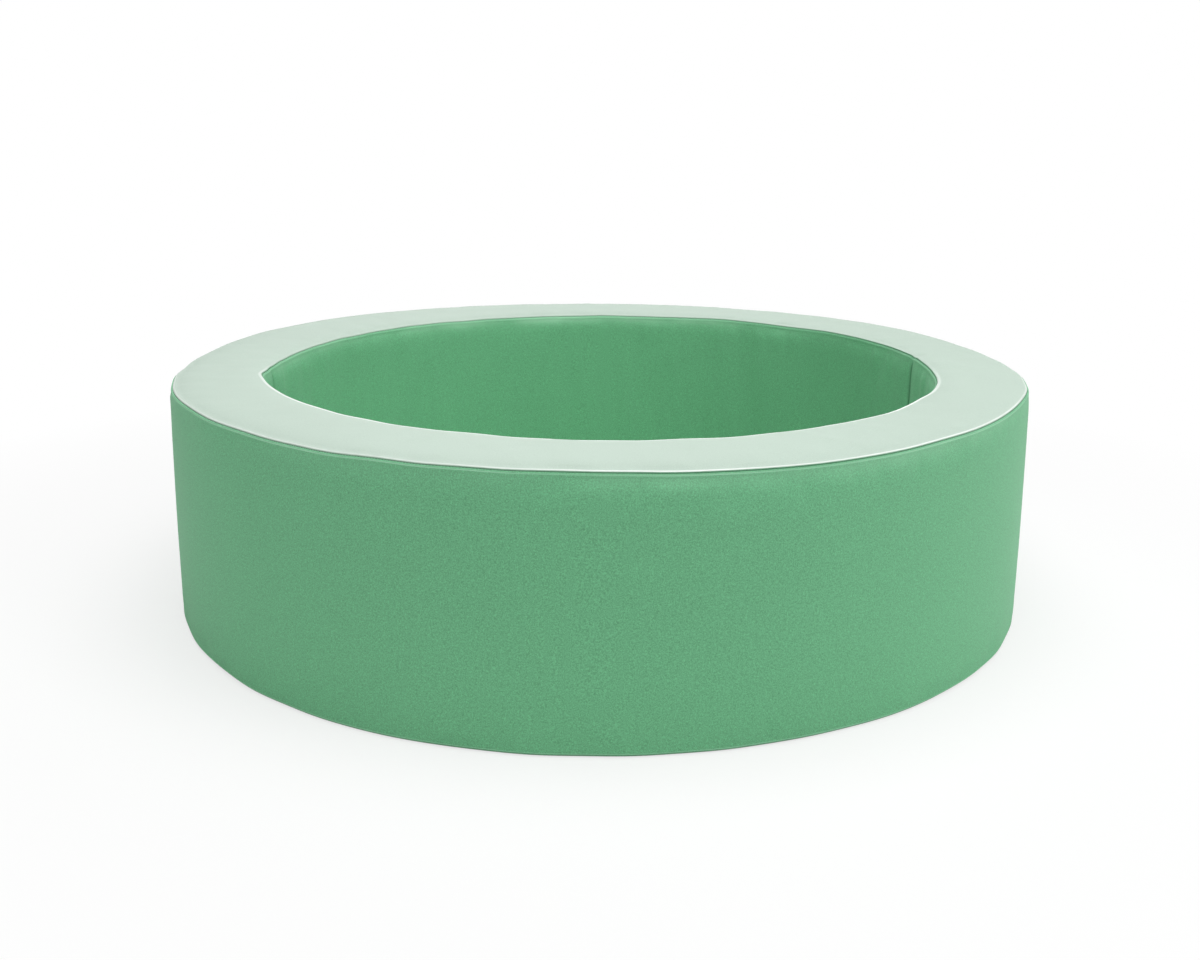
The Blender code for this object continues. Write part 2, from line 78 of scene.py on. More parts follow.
# %% [markdown]
# ## Sizes
#
# The solids were cut to these sizes, in metres and degrees, and the finer pieces keep to them. The
# origin is the middle of the base, +Z is up, and azimuth is counted from +X towards +Y.

# %% Sizes of the ring and the mat
RING_RADIUS = 0.650
PIT_RADIUS = 0.500
RING_HEIGHT = 0.350
MAT_RADIUS = 0.4996
MAT_HEIGHT = 0.040
RING_EDGE = 0.006
MAT_EDGE = 0.005
OUTER_BULGE = 0.002
TOP_CROWN = 0.0025
MAT_CROWN = 0.003
MAT_CROWN_WIDTH = 0.080
SEAM_AZIMUTH = 6.0

# %% Sizes of the cover and the zips
COVER = 0.0012
GAP = 0.0003
ALLOWANCE = 0.010
RING_ZIP_RADIUS = 0.575
MAT_ZIP_RADIUS = 0.350
ZIP_FROM = 13.5
ZIP_TO = 178.5
SLIT_HALF = 0.0086
CHANNEL_TOP = 0.020
CHANNEL_FOOT = 0.028
CHANNEL_LIFT = 0.0057
CHANNEL_ROOF = 0.0101
print("ring", RING_RADIUS * 2, "m across, pit", PIT_RADIUS * 2, "m across, mat", MAT_RADIUS * 2)

# %% [markdown]
# ## Camera
#
# A photograph can be matched by fitting a camera to a few curves of known shape. Here the two round
# rims and the lower edge gave the camera's height, its distance, its lens and a slight roll. The lens
# is a 38.8 mm one on a 36 mm sensor, and the picture's centre lies a little below the lens's axis.

# %% The camera
PICTURE_WIDTH = 1200
PICTURE_HEIGHT = 960
CAMERA_ELEVATION = math.radians(15.302)
CAMERA_DISTANCE = 2.0846
CAMERA_ASIDE = 0.0011
CAMERA_ROLL = math.radians(0.426)
FOCAL_PIXELS = 1294.1
AXIS_ROW = 466.62
SENSOR = 36.0

camera_data = bpy.data.cameras.new("camera")
camera_data.sensor_width = SENSOR
camera_data.lens = FOCAL_PIXELS / PICTURE_WIDTH * SENSOR
camera_data.shift_y = (AXIS_ROW - PICTURE_HEIGHT / 2) / PICTURE_WIDTH
camera = linked("camera", camera_data)
bpy.context.scene.camera = camera

level, rise = math.cos(CAMERA_ELEVATION), math.sin(CAMERA_ELEVATION)
forward = Vector((0.0, level, -rise))
across, upright = Vector((1.0, 0.0, 0.0)), Vector((0.0, rise, level))
turned_across = across * math.cos(CAMERA_ROLL) + upright * math.sin(CAMERA_ROLL)
turned_upright = upright * math.cos(CAMERA_ROLL) - across * math.sin(CAMERA_ROLL)
aim = Vector((CAMERA_ASIDE, 0.0, RING_HEIGHT / 2))
turn = Matrix((turned_across, turned_upright, -forward)).transposed().to_4x4()
camera.matrix_world = Matrix.Translation(aim - forward * CAMERA_DISTANCE) @ turn
print("camera at", [round(value, 3) for value in camera.matrix_world.translation])

# %% [markdown]
# ## Networks of nodes
#
# The world, every finish and every tree of Geometry Nodes is a small network. This helper adds a node
# and sets its inputs in one go: a number or colour is an input's value, a socket is linked to it.


# %% A helper for networks of nodes
def tint(colour, factor=1.0):
    """A colour with its alpha, made darker or lighter by a factor."""
    return (*[channel * factor for channel in colour], 1.0)


class Network:
    """A tree of nodes and a short way to add nodes to it."""

    def __init__(self, tree):
        self.tree = tree

    def set(self, node, sockets):
        for socket, value in sockets.items():
            target = node.inputs[socket]
            if isinstance(value, bpy.types.NodeSocket):
                self.tree.links.new(value, target)
            else:
                target.default_value = value

    def add(self, kind, options=None, inputs=None):
        node = self.tree.nodes.new(kind)
        for option, value in (options or {}).items():
            setattr(node, option, value)
        self.set(node, inputs or {})
        return node

    def maths(self, operation, first, second=0.0, third=0.0):
        inputs = {0: first, 1: second, 2: third}
        return self.add("ShaderNodeMath", {"operation": operation}, inputs).outputs[0]


# %% A helper for finishes
class Finish(Network):
    """A material and its network, with the nodes that the finishes here use most."""

    def __init__(self, name):
        self.material = bpy.data.materials.new(name)
        self.material.use_nodes = True
        super().__init__(self.material.node_tree)
        self.shader = self.tree.nodes["Principled BSDF"]

    def where(self):
        return self.add("ShaderNodeTexCoord").outputs["Object"]

    def noise(self, where, scale, detail):
        inputs = {"Vector": where, "Scale": scale, "Detail": detail}
        return self.add("ShaderNodeTexNoise", None, inputs).outputs["Fac"]

    def painted(self, name):
        return self.add("ShaderNodeAttribute", {"attribute_name": name}).outputs["Fac"]

    def spread(self, value, low, high, to_low=0.0, to_high=1.0):
        """The value, stretched from low..high to to_low..to_high and kept inside them."""
        inputs = {"Value": value, "From Min": low, "From Max": high, "To Min": to_low, "To Max": to_high}
        return self.add("ShaderNodeMapRange", None, inputs).outputs["Result"]

    def mix(self, share, first, second):
        inputs = {0: share, 6: first, 7: second}
        return self.add("ShaderNodeMix", {"data_type": "RGBA"}, inputs).outputs[2]

    def bump(self, height, strength, distance):
        inputs = {"Strength": strength, "Distance": distance, "Height": height}
        return self.add("ShaderNodeBump", None, inputs).outputs["Normal"]

    def dress(self, sockets):
        """Set the shader's inputs, and return the finished material."""
        self.set(self.shader, sockets)
        return self.material


# %% [markdown]
# ## Light, floor and background
#
# The picture is a soft studio shot on white. Its light was worked out from the shades on the walls
# and the top: a large soft lamp above, weaker ones to the right and left, one low at the right that
# brushes the outer wall, and one behind. The world adds a little from all round. The floor is pale
# and keeps the object's shadow; the camera, gloss and glass see the world as plain white.

# %% The world
SKY_LIGHT = 0.12
scene = bpy.context.scene
scene.view_settings.view_transform = "Standard"
world = bpy.data.worlds.new("studio")
scene.world = world
world.use_nodes = True
sky = Network(world.node_tree)
rays = sky.add("ShaderNodeLightPath").outputs
mirrored = sky.maths("MAXIMUM", rays["Is Camera Ray"], rays["Is Glossy Ray"])
seen = sky.maths("MAXIMUM", mirrored, rays["Is Transmission Ray"])
strength = sky.add("ShaderNodeMapRange", None, {"Value": seen, "To Min": SKY_LIGHT, "To Max": 1.0})
sky.set(sky.tree.nodes["Background"], {
    "Color": (1.0, 1.0, 1.0, 1.0), "Strength": strength.outputs["Result"]})


# %% Soft lamps
def soft_lamp(name, place, target, size, power):
    """A square area lamp that faces its target."""
    lamp_data = bpy.data.lights.new(name, "AREA")
    lamp_data.size = size
    lamp_data.energy = power
    lamp = linked(name, lamp_data)
    lamp.location = place
    lamp.rotation_euler = (Vector(target) - Vector(place)).to_track_quat("-Z", "Y").to_euler()
    print(f"{name}: {power} W, {size} m wide")


soft_lamp("lamp_above", (0.3, -0.6, 3.4), (0.0, 0.0, 0.0), 3.0, 107.0)
soft_lamp("lamp_right", (3.2, -2.2, 2.2), (0.0, 0.0, 0.15), 2.4, 33.0)
soft_lamp("lamp_left", (-3.2, -2.6, 1.6), (0.0, 0.0, 0.15), 2.4, 24.0)
soft_lamp("lamp_low_right", (4.0, 0.2, 1.2), (0.0, 0.0, 0.15), 2.0, 18.0)
soft_lamp("lamp_back", (-0.5, 3.6, 2.2), (0.0, 0.0, 0.15), 2.4, 32.0)

# %% The floor
FLOOR_SIZE = 30.0
FLOOR_DROP = 0.0004
GLOW_START, GLOW_END = 0.7, 1.6
GLOW_NEAR, GLOW_FAR = 0.70, 1.0

floor_mesh = bpy.data.meshes.new("floor")
half = FLOOR_SIZE / 2
floor_mesh.from_pydata(
    [(-half, -half, 0), (half, -half, 0), (half, half, 0), (-half, half, 0)], [], [(0, 1, 2, 3)])
floor = linked("floor", floor_mesh)
floor.location.z = -FLOOR_DROP

paper = Finish("studio_paper")
distance = paper.add("ShaderNodeVectorMath", {"operation": "LENGTH"}, {0: paper.where()})
glow = paper.spread(distance.outputs["Value"], GLOW_START, GLOW_END, GLOW_NEAR, GLOW_FAR)
to_camera = paper.add("ShaderNodeLightPath").outputs["Is Camera Ray"]
blend = paper.add("ShaderNodeMixShader", None, {
    "Fac": paper.maths("MULTIPLY", to_camera, glow), 1: paper.shader.outputs["BSDF"],
    2: paper.add("ShaderNodeEmission").outputs["Emission"]})
paper.set(paper.tree.nodes["Material Output"], {"Surface": blend.outputs["Shader"]})
floor_mesh.materials.append(paper.dress({
    "Base Color": (0.92, 0.92, 0.92, 1.0), "Roughness": 0.9, "Specular IOR Level": 0.1}))

# %% [markdown]
# ## Finishes
#
# Patterns read the Object coordinates, which are in metres, so a grain of 2 mm is a noise of scale
# 500. Two values are painted on the meshes as they are built: one is 1 down in a seam and gives the
# leatherette a painted shade there, the other is 1 on the rolled edge beside it and gives it a painted
# highlight, a little paler.


# %% Leatherette
def leatherette(name, colour, highlight_colour, crease_colour, speckle, shine):
    """Soft plastic skin, finely pebbled, with painted shade in its seams and painted highlight on its
    rolled edges.
    """
    finish = Finish(name)
    where = finish.where()
    cloud = finish.noise(where, 4.0, 3.0)
    fine = finish.noise(where, 760.0, 2.0)
    pore = finish.noise(where, 1900.0, 2.0)
    pebble = finish.add(
        "ShaderNodeTexVoronoi", {"feature": "SMOOTH_F1"}, {"Vector": where, "Scale": 620.0})

    grain = finish.spread(fine, 0.3, 0.7)
    tone = finish.mix(grain, tint(colour, 1.0 - speckle), tint(colour, 1.0 + speckle))
    tone = finish.mix(finish.spread(cloud, 0.3, 0.7, 0.0, 0.05), tone, tint(colour, 0.5))
    # A large noise makes the painted highlight patchy.
    highlight_patches = finish.spread(cloud, 0.35, 0.65, 0.6, 1.0)
    painted_highlight = finish.maths("MULTIPLY", finish.painted("painted_highlight"), highlight_patches)
    tone = finish.mix(painted_highlight, tone, tint(highlight_colour))
    # Painted shade down in the seams.
    tone = finish.mix(finish.painted("crease"), tone, tint(crease_colour))

    height = finish.maths("MULTIPLY_ADD", pore, 0.35, pebble.outputs["Distance"])
    return finish.dress({
        "Base Color": tone, "Roughness": finish.spread(fine, 0.3, 0.7, 0.60, 0.70),
        "Normal": finish.bump(height, 0.2, 0.0006), "Specular IOR Level": shine,
        "Sheen Weight": 0.07, "Sheen Roughness": 0.5})


# Arguments: the cloth's colour, its painted highlight colour, its painted shade colour, grain contrast
# and gloss.
green_leatherette = leatherette(
    "green_leatherette", (0.158, 0.480, 0.249), (0.36, 0.70, 0.46), (0.040, 0.175, 0.080), 0.27, 0.36)
mint_leatherette = leatherette(
    "mint_leatherette", (0.490, 0.600, 0.521), (0.90, 0.94, 0.91), (0.07, 0.34, 0.15), 0.06, 0.2)
print("leatherettes:", green_leatherette.name, mint_leatherette.name)


# %% Foam
def cut_foam(name, colour, aged_colour):
    """Open-celled foam: small bright struts round darker cells."""
    finish = Finish(name)
    where = finish.where()
    cell = finish.add("ShaderNodeTexVoronoi", None, {"Vector": where, "Scale": 900.0})
    struts = finish.spread(cell.outputs["Distance"], 0.1, 0.6)
    tone = finish.mix(struts, tint(colour, 0.72), tint(colour))
    age = finish.spread(finish.noise(where, 25.0, 4.0), 0.3, 0.7, 0.0, 0.25)
    return finish.dress({
        "Base Color": finish.mix(age, tone, tint(aged_colour)), "Roughness": 0.95,
        "Normal": finish.bump(cell.outputs["Distance"], 0.6, 0.0006), "Specular IOR Level": 0.15})


foam = cut_foam("foam", (0.80, 0.77, 0.66), (0.74, 0.66, 0.46))


# %% [markdown]
# ## Panels of the cover
#
# A panel is cut flat, and its raw edges turn in and are sewn to its neighbour's. So its cross-section
# starts inside the foam, comes up along the seam, rolls over a small radius, follows the corner and
# runs flat to the next seam. Swept round the axis that makes a sheet of quads, which Solidify turns
# into leatherette 1.2 mm thick. A plain torus-like solid would have no seams to catch the light.

# %% Directions in a cross-section
UP, DOWN = np.array((0.0, 1.0)), np.array((0.0, -1.0))
OUT, IN = np.array((1.0, 0.0)), np.array((-1.0, 0.0))
ROLL = 0.0016
HALF_SEAM = GAP / 2

# %% A panel's edge line
HEM_ROWS, ROLL_ROWS, CORNER_ROWS = 4, 9, 7
# How the painted shade falls off in the groove and how much green keeps on its rolled edge; where
# green's painted highlight line lies on the corner; how mint's painted highlight fades onto the face.
GREEN_SHADOW, MINT_SHADOW = 0.8, 0.6
GREEN_EDGE_SHADE = 0.2
HIGHLIGHT_PLACE, HIGHLIGHT_WIDTH = 0.35, 0.35
FACE_STEPS = ((0.0008, 0.9), (0.0018, 0.4), (0.0030, 0.0))


def edge_line(tip, face, other, radius, pale):
    """A panel's line from its raw edge over the roll to its face, with its painted shade and highlight
    values.

    pale is 0 for green: it gets painted shade in the groove, and a painted highlight line where the
    rolled edge meets the wall. Mint gets a painted highlight over its rolled edge, with 2 also a little
    way beyond.
    """
    centre = tip - (face + other) * radius
    diagonal, aside = (face + other) / math.sqrt(2), (face - other) / math.sqrt(2)
    start = HALF_SEAM + ROLL
    reach = math.sqrt((radius - ROLL) ** 2 - start ** 2)
    meeting = math.asin(start / (radius - ROLL))
    roll_centre = centre + diagonal * reach + aside * start
    rows = []
    for along in np.linspace(radius - ALLOWANCE, reach, HEM_ROWS)[:-1]:
        rows.append((centre + diagonal * along + aside * HALF_SEAM, 1.0, 0.0))
    for turn in np.linspace(-math.pi / 2, meeting, ROLL_ROWS):
        point = roll_centre + ROLL * (diagonal * math.cos(turn) + aside * math.sin(turn))
        # Down in the groove the painted shade deepens; on mint, the rest of the roll gets a painted
        # highlight.
        depth = max(0.0, -math.sin(turn)) ** (MINT_SHADOW if pale else GREEN_SHADOW)
        crease = depth if pale else max(depth, GREEN_EDGE_SHADE)
        rows.append((point, crease, 1.0 - depth if pale else 0.0))
    for turn in np.linspace(meeting, math.pi / 4, CORNER_ROWS)[1:]:
        point = centre + radius * (diagonal * math.cos(turn) + aside * math.sin(turn))
        share = (turn - meeting) / (math.pi / 4 - meeting)
        # Green gets a painted highlight line on its rounded corner; mint a painted highlight that covers
        # it.
        line = math.exp(-(((share - HIGHLIGHT_PLACE) / HIGHLIGHT_WIDTH) ** 2))
        crease = 0.0 if pale else GREEN_EDGE_SHADE * max(0.0, 1.0 - 3.0 * share)
        rows.append((point, crease, (line, 1.0 - share ** 2, 1.0)[pale]))
    end = rows[-1][0]
    # Where pale is 2, the painted highlight goes a little way onto the face.
    for along, painted_highlight in FACE_STEPS:
        rows.append((end - other * along, 0.0, painted_highlight if pale == 2 else 0.0))
    return rows


def evenly(start, end, count):
    """Evenly spaced points between two others."""
    return [start + (end - start) * (step + 1) / (count + 1) for step in range(count)]


# %% How far a face follows its corners
FOLLOW_REACH = {"wander": 0.060, "draw": 0.060, "tuck": 0.028}
SHIFTS = ("lean", "wander", "draw", "tuck")
WALL_DRAW_SHARE = 0.5
LONGEST_REACH = 0.6


def following(kind, face, end, wall=False):
    """How far each point of a face follows the corner at one end of it, from 1 down to 0.

    A lean fades evenly over the whole face, and a tuck over a short way beside the seam. A wall
    follows the draw of its upright seams over its whole height.
    """
    steps = np.linalg.norm(np.diff(np.vstack([end, face]), axis=0), axis=1)
    away = np.cumsum(steps)
    if kind == "lean":
        return 1.0 - away / (away[-1] + steps[-1])
    if kind == "draw" and wall:
        return np.full(len(face), WALL_DRAW_SHARE)
    reach = min(FOLLOW_REACH[kind], away[-1] * LONGEST_REACH)
    left = 1.0 - np.minimum(away / reach, 1.0)
    return left ** 2 if kind == "tuck" else 0.5 - 0.5 * np.cos(np.pi * left)


# %% A panel's cross-section
class Section:
    """Cross-section of a panel: an edge line, the points of its face, and another edge line.

    points: radius and height; then the painted values of shade in the seam and of highlight on the
    rolled edge; share: 0 to 1 along the face; follow: how far the points follow the corner at their
    start and the one at their end, in each kind of shift.
    """

    def __init__(self, head, face, tail, wall=False):
        rows = head + [(point, 0.0, 0.0) for point in face] + tail[::-1]
        self.points, self.crease, self.painted_highlight = (np.array(column) for column in zip(*rows))
        on_face = slice(len(head), len(head) + len(face))
        line = self.points[on_face]
        length = np.linalg.norm(np.diff(self.points, axis=0), axis=1)
        length[:max(len(head) - 1, 0)] = 0.0
        length[len(head) + len(face):] = 0.0
        run = np.concatenate([[0.0], np.cumsum(length)])
        self.share = run / run[-1]
        self.follow = ({}, {})
        for kind in SHIFTS:
            first, last = np.zeros(len(rows)), np.zeros(len(rows))
            if head:
                first[:len(head)] = 1.0
                first[on_face] = following(kind, line, head[-1][0], wall)
            if tail:
                last[-len(tail):] = 1.0
                last[on_face] = following(kind, line[::-1], tail[-1][0], wall)[::-1]
            self.follow[0][kind], self.follow[1][kind] = first, last

    def plain_paint(self):
        """The painted values of a section that is the same all round."""
        return {"crease": self.crease, "painted_highlight": self.painted_highlight}


# %% Corners, and sections between them
MAT_ROOM = 0.0010
outer_tip = RING_RADIUS - OUTER_BULGE
top_level = RING_HEIGHT - TOP_CROWN
mat_level = MAT_HEIGHT - MAT_CROWN
mat_tip = MAT_RADIUS - MAT_ROOM
CORNERS = {
    "outer_top": (np.array((outer_tip, top_level)), OUT, UP, RING_EDGE),
    "outer_base": (np.array((outer_tip, 0.0)), OUT, DOWN, RING_EDGE),
    "pit_base": (np.array((PIT_RADIUS, 0.0)), IN, DOWN, RING_EDGE),
    "pit_top": (np.array((PIT_RADIUS, top_level)), IN, UP, RING_EDGE),
    "mat_top": (np.array((mat_tip, mat_level)), OUT, UP, MAT_EDGE),
    "mat_base": (np.array((mat_tip, 0.0)), OUT, DOWN, MAT_EDGE),
}


def edge_of(corner, face):
    """The edge line of the panel on one face of a corner: the walls are green, the rest is mint."""
    tip, side, level, radius = CORNERS[corner]
    pale = 0 if face is side else 2 if corner == "pit_top" else 1
    return edge_line(tip, face, level if face is side else side, radius, pale)


def plain_section(first, last, face, count, wall=False):
    """The section of a panel from one corner straight to the next."""
    head, tail = edge_of(first, face), edge_of(last, face)
    return Section(head, evenly(head[-1][0], tail[-1][0], count), tail, wall)


outer_section = plain_section("outer_base", "outer_top", OUT, 46, wall=True)
top_section = plain_section("outer_top", "pit_top", UP, 24)
inner_section = plain_section("pit_top", "pit_base", IN, 46, wall=True)
print("points across: outer wall", len(outer_section.points), "top", len(top_section.points))

# %% [markdown]
# ## How the sewn cover departs from a true ring
#
# A sewn and stuffed ring is never a true one. The photograph shows by how much: where its rims lie
# off the fitted circles, foam and cover lean a few millimetres outwards or in, up or down. The pit is
# a little wider from left to right, for one. On top of that a seam wanders by fractions of a
# millimetre, it is tucked in where it was pulled tight, and it is drawn in where an upright seam
# meets it. Every shift is a function of the azimuth that neighbouring panels share, so that their
# seams stay closed.

# %% Lean of the rims
TWO_PI = 2 * math.pi
MILLIMETRE = 0.001
# How far each rim leans outwards, and how far upwards, in millimetres, every 15 degrees of azimuth.
LEANS = {
    "outer_top": (
        (-2.0, -1.0, 0.0, 0.2, 0.1, 0.0, 0.0, 0.0, 0.1, 0.4, 0.5, -0.8,
         -2.6, -2.8, -1.6, -0.5, 0.0, 0.1, -0.1, 0.5, 0.4, -1.2, -2.9, -3.0),
        (-1.7, -0.7, 0.4, 0.9, 0.4, 0.0, -0.3, 0.3, 0.7, 2.0, 3.0, -0.2,
         -3.0, -0.6, 1.3, 0.9, -0.1, -0.4, 0.4, -1.6, -1.5, 1.7, 3.4, 1.2)),
    "outer_base": (
        (2.5, 2.0, 1.0, 1.0, 1.0, 1.0, 1.0, 1.0, 1.0, 1.0, 1.0, 1.5,
         2.0, 2.5, 2.7, 3.0, 3.6, 1.8, -0.8, -1.8, -0.4, 1.0, 2.6, 2.8), (0.0,) * 24),
    "pit_top": (
        (3.9, 1.6, 1.0, 0.4, 0.1, -0.2, -0.3, -0.4, -0.4, -0.4, -0.6, -0.8,
         0.4, 9.0, 1.6, -0.4, -0.4, -0.4, -0.2, 0.1, 0.2, 0.8, 2.4, 10.2),
        (3.6, 4.2, 3.7, 1.9, 0.8, -1.0, -2.1, -2.9, -3.0, -2.3, -2.7, -2.8,
         -1.9, -0.3, -0.2, 1.4, 1.4, 1.5, 0.8, -0.2, -0.6, -1.9, -2.6, 0.2)),
}


def between(before, start, end, after, t):
    """A point of a smooth curve through four others, at t from start to end."""
    return 0.5 * (2 * start + (end - before) * t + (2 * before - 5 * start + 4 * end - after) * t ** 2
                  + (3 * start - before - 3 * end + after) * t ** 3)


def round_curve(values, azimuth):
    """A smooth closed curve through values, or rows of them, spaced evenly round the ring."""
    values = np.array(values)
    place = (azimuth % 360.0) / 360.0 * len(values)
    start = np.floor(place).astype(int)
    t = (place - start).reshape((-1,) + (1,) * (values.ndim - 1))
    return between(*(values[(start + step) % len(values)] for step in (-1, 0, 1, 2)), t)


def rim_lean(corner, azimuth):
    """How far a corner leans outwards and upwards, from the photograph; nothing for hidden ones."""
    tables = LEANS.get(corner, ((0.0,), (0.0,)))
    return tuple(round_curve(values, azimuth) * MILLIMETRE for values in tables)


# %% Smooth curves and patches round the ring
def wander(azimuth, seed, size, waves):
    """A smooth random curve round the ring: a sum of waves whose strength falls with their number."""
    dice = np.random.default_rng(seed)
    total = np.zeros_like(azimuth)
    for count in range(6, waves + 1):
        strength, phase = dice.normal() / count ** 0.7, dice.uniform(0.0, TWO_PI)
        total = total + strength * np.cos(np.radians(azimuth) * count + phase)
    return size * total / math.sqrt(sum(0.5 / count ** 1.4 for count in range(6, waves + 1)))


def from_azimuth(azimuth, place):
    """Degrees between azimuths."""
    return np.abs((azimuth - place + 180.0) % 360.0 - 180.0)


def from_seam(azimuth):
    """Degrees from the nearer of the two upright seams."""
    return np.minimum(from_azimuth(azimuth, SEAM_AZIMUTH), from_azimuth(azimuth, SEAM_AZIMUTH + 180.0))


def patches(azimuth, places):
    """A sum of soft bumps: azimuth, width and size of each."""
    total = np.zeros_like(azimuth)
    for place, width, size in places:
        total = total + size * np.exp(-((from_azimuth(azimuth, place) / width) ** 2))
    return total


# %% Wander, draw and tuck of the rims
OUTER_DRAW, PIT_DRAW = -0.002, 0.004
DRAW_WIDTH, DRAW_POWER = 2.6, 1.2
RIM_WANDER, MAT_WANDER = 0.0005, 0.0002
RIM_WAVES = 40
LEVEL_WANDER = 0.8
TUCK_DROP = 0.6
NOTCH_DEPTH, NOTCH_WIDTH = 0.0022, 0.9
RIM_SEEDS = {
    "outer_top": 11, "outer_base": 23, "pit_base": 31, "pit_top": 47, "mat_top": 53, "mat_base": 61}
# Depth of the tuck everywhere, and the places where it is deeper: azimuth, width and depth.
TUCKS = {
    "outer_top": (0.0012, ((248.0, 5.0, 0.0005), (268.0, 4.0, 0.0016), (277.0, 3.5, 0.0024),
                           (285.0, 4.0, 0.0020), (296.0, 5.0, 0.0010), (309.0, 7.0, 0.0008),
                           (96.0, 8.0, 0.0010), (150.0, 5.0, 0.0012), (14.0, 7.0, 0.0011))),
    "mat_top": (0.0004, ((20.0, 9.0, 0.0008), (75.0, 7.0, 0.0012), (140.0, 10.0, 0.0010),
                         (215.0, 8.0, 0.0013), (265.0, 6.0, 0.0008), (320.0, 9.0, 0.0010))),
    "pit_top": (0.0022, ((49.0, 5.0, 0.0018), (62.0, 4.0, 0.0008), (19.0, 5.0, 0.0010),
                         (358.0, 5.0, 0.0012), (168.0, 7.0, 0.0022), (178.0, 4.0, 0.0012),
                         (140.0, 8.0, 0.0008), (262.0, 7.0, 0.0008), (300.0, 6.0, 0.0006))),
}
PINCHES = {"pit_top": ((184.5, 4.0, -0.0034), (191.8, 3.2, 0.0042), (341.0, 9.0, 0.0010))}


def tuck_depth(corner, azimuth):
    """How deep a seam is tucked in: a little everywhere, and more in a few places."""
    base, places = TUCKS.get(corner, (0.0, ()))
    return base + patches(azimuth, places)


def wall_draw(corner, azimuth):
    """How far the upright seams draw a corner in; the mat's border has none."""
    if corner.startswith("mat"):
        return np.zeros_like(azimuth)
    depth = OUTER_DRAW if corner.startswith("outer") else PIT_DRAW
    return depth * np.exp(-((from_seam(azimuth) / DRAW_WIDTH) ** DRAW_POWER))


def rim_shifts(corner, azimuth):
    """Each kind of shift of a corner's seam off its circle: outwards and upwards."""
    seed = RIM_SEEDS[corner]
    size = MAT_WANDER if corner.startswith("mat") else RIM_WANDER
    on_floor = 0.0 if corner.endswith("base") else 1.0
    level = on_floor * wander(azimuth, seed + 1, size * LEVEL_WANDER, RIM_WAVES)
    aside = wander(azimuth, seed, size, RIM_WAVES) + patches(azimuth, PINCHES.get(corner, ()))
    tuck = tuck_depth(corner, azimuth)
    inwards = 1.0 if corner.startswith("pit") else -1.0
    notch = np.exp(-((from_azimuth(azimuth, SEAM_AZIMUTH) / NOTCH_WIDTH) ** 2)) * (corner == "pit_top")
    return {
        "lean": rim_lean(corner, azimuth), "wander": (aside, level),
        "draw": (wall_draw(corner, azimuth), np.zeros_like(azimuth)),
        "tuck": (inwards * tuck, -NOTCH_DEPTH * notch - TUCK_DROP * tuck)}


def rim_shift(corner, azimuth):
    """All of a corner's shifts together."""
    shifts = rim_shifts(corner, azimuth).values()
    return sum(shift[0] for shift in shifts), sum(shift[1] for shift in shifts)


for corner in LEANS:
    moved = rim_shift(corner, np.arange(0.0, 360.0, 2.0))
    print(corner, "lies off its circle by up to",
          [round(float(np.abs(part).max()) * 1000, 1) for part in moved], "mm outwards, upwards")

# %% [markdown]
# ## Grooves: painted shade and painted highlight lines
#
# A seam looks different all the way round. Its groove gets a dark line of painted shade in some places
# and is shut in others, and a pale line of painted highlight lies beside it. Short tables, a value
# every 15 degrees, say how much of each there is, as the photograph shows it.

# %% Paint of the rims
SHUT_GROOVE_HIGHLIGHT = 0.8
UNEVEN_SIZE, UNEVEN_WAVES, UNEVEN_LEAST = 0.25, 60, 0.3
# How open a seam's groove is.
GROOVES = {
    "outer_top": (0.6, 0.5, 0.4, 0.4, 0.4, 0.4, 0.4, 0.4, 0.4, 0.4, 0.4, 0.4,
                  0.2, 0.1, 0.1, 0.2, 0.3, 0.5, 0.9, 1.0, 0.9, 0.55, 0.45, 0.4),
    "pit_top": (1.0, 1.0, 0.8, 0.5, 0.5, 0.4, 0.3, 0.3, 0.3, 0.2, 0.15, 0.15,
                0.5, 0.9, 0.6, 0.5, 0.5, 0.5, 0.5, 0.5, 0.5, 0.6, 0.7, 0.9),
}
# How strong the painted highlight line beside it is, on each cloth.
HIGHLIGHT_LINES = {
    ("outer_top", "mint"): (0.3, 0.2, 0.2, 0.2, 0.2, 0.2, 0.2, 0.2, 0.2, 0.2, 0.2, 0.2,
                            0.4, 0.5, 0.45, 0.45, 0.45, 0.6, 1.0, 1.0, 1.0, 0.85, 0.75, 0.7),
    ("outer_top", "green"): (0.2, 0.2, 0.3, 0.3, 0.3, 0.3, 0.3, 0.3, 0.3, 0.3, 0.3, 0.3,
                             0.5, 0.8, 0.8, 0.9, 1.0, 1.0, 0.6, 0.8, 1.0, 1.0, 1.0, 0.6),
    ("pit_top", "mint"): (0.0, 0.0, 0.0, 0.0, 0.0, 0.0, 0.0, 0.0, 0.0, 0.0, 0.0, 0.0,
                          0.05, 0.6, 1.0, 1.0, 1.0, 1.0, 1.0, 1.0, 1.0, 1.0, 0.85, 0.5),
    ("pit_top", "green"): (1.0, 0.6, 0.3, 0.3, 0.5, 0.7, 0.6, 0.8, 0.9, 0.5, 0.4, 0.6,
                           0.9, 0.6, 0.5, 0.5, 0.5, 0.5, 0.5, 0.5, 0.5, 0.5, 0.5, 0.7),
}
# How fast the painted highlight on the green below a seam fades, as a power, and how strong it is.
SEAM_HIGHLIGHTS = {
    "outer_top": (1.0, (0.05, 0.05, 0.05, 0.05, 0.05, 0.05, 0.05, 0.05, 0.05, 0.05, 0.05, 0.05,
                        0.02, 0.02, 0.03, 0.04, 0.06, 0.10, 0.16, 0.28, 0.32, 0.18, 0.10, 0.06)),
    "pit_top": (2.2, (0.20, 0.10, 0.05, 0.25, 0.55, 0.75, 0.60, 0.75, 0.80, 0.35, 0.25, 0.45,
                      0.50, 0.30, 0.20, 0.20, 0.20, 0.20, 0.20, 0.20, 0.20, 0.20, 0.20, 0.20)),
}


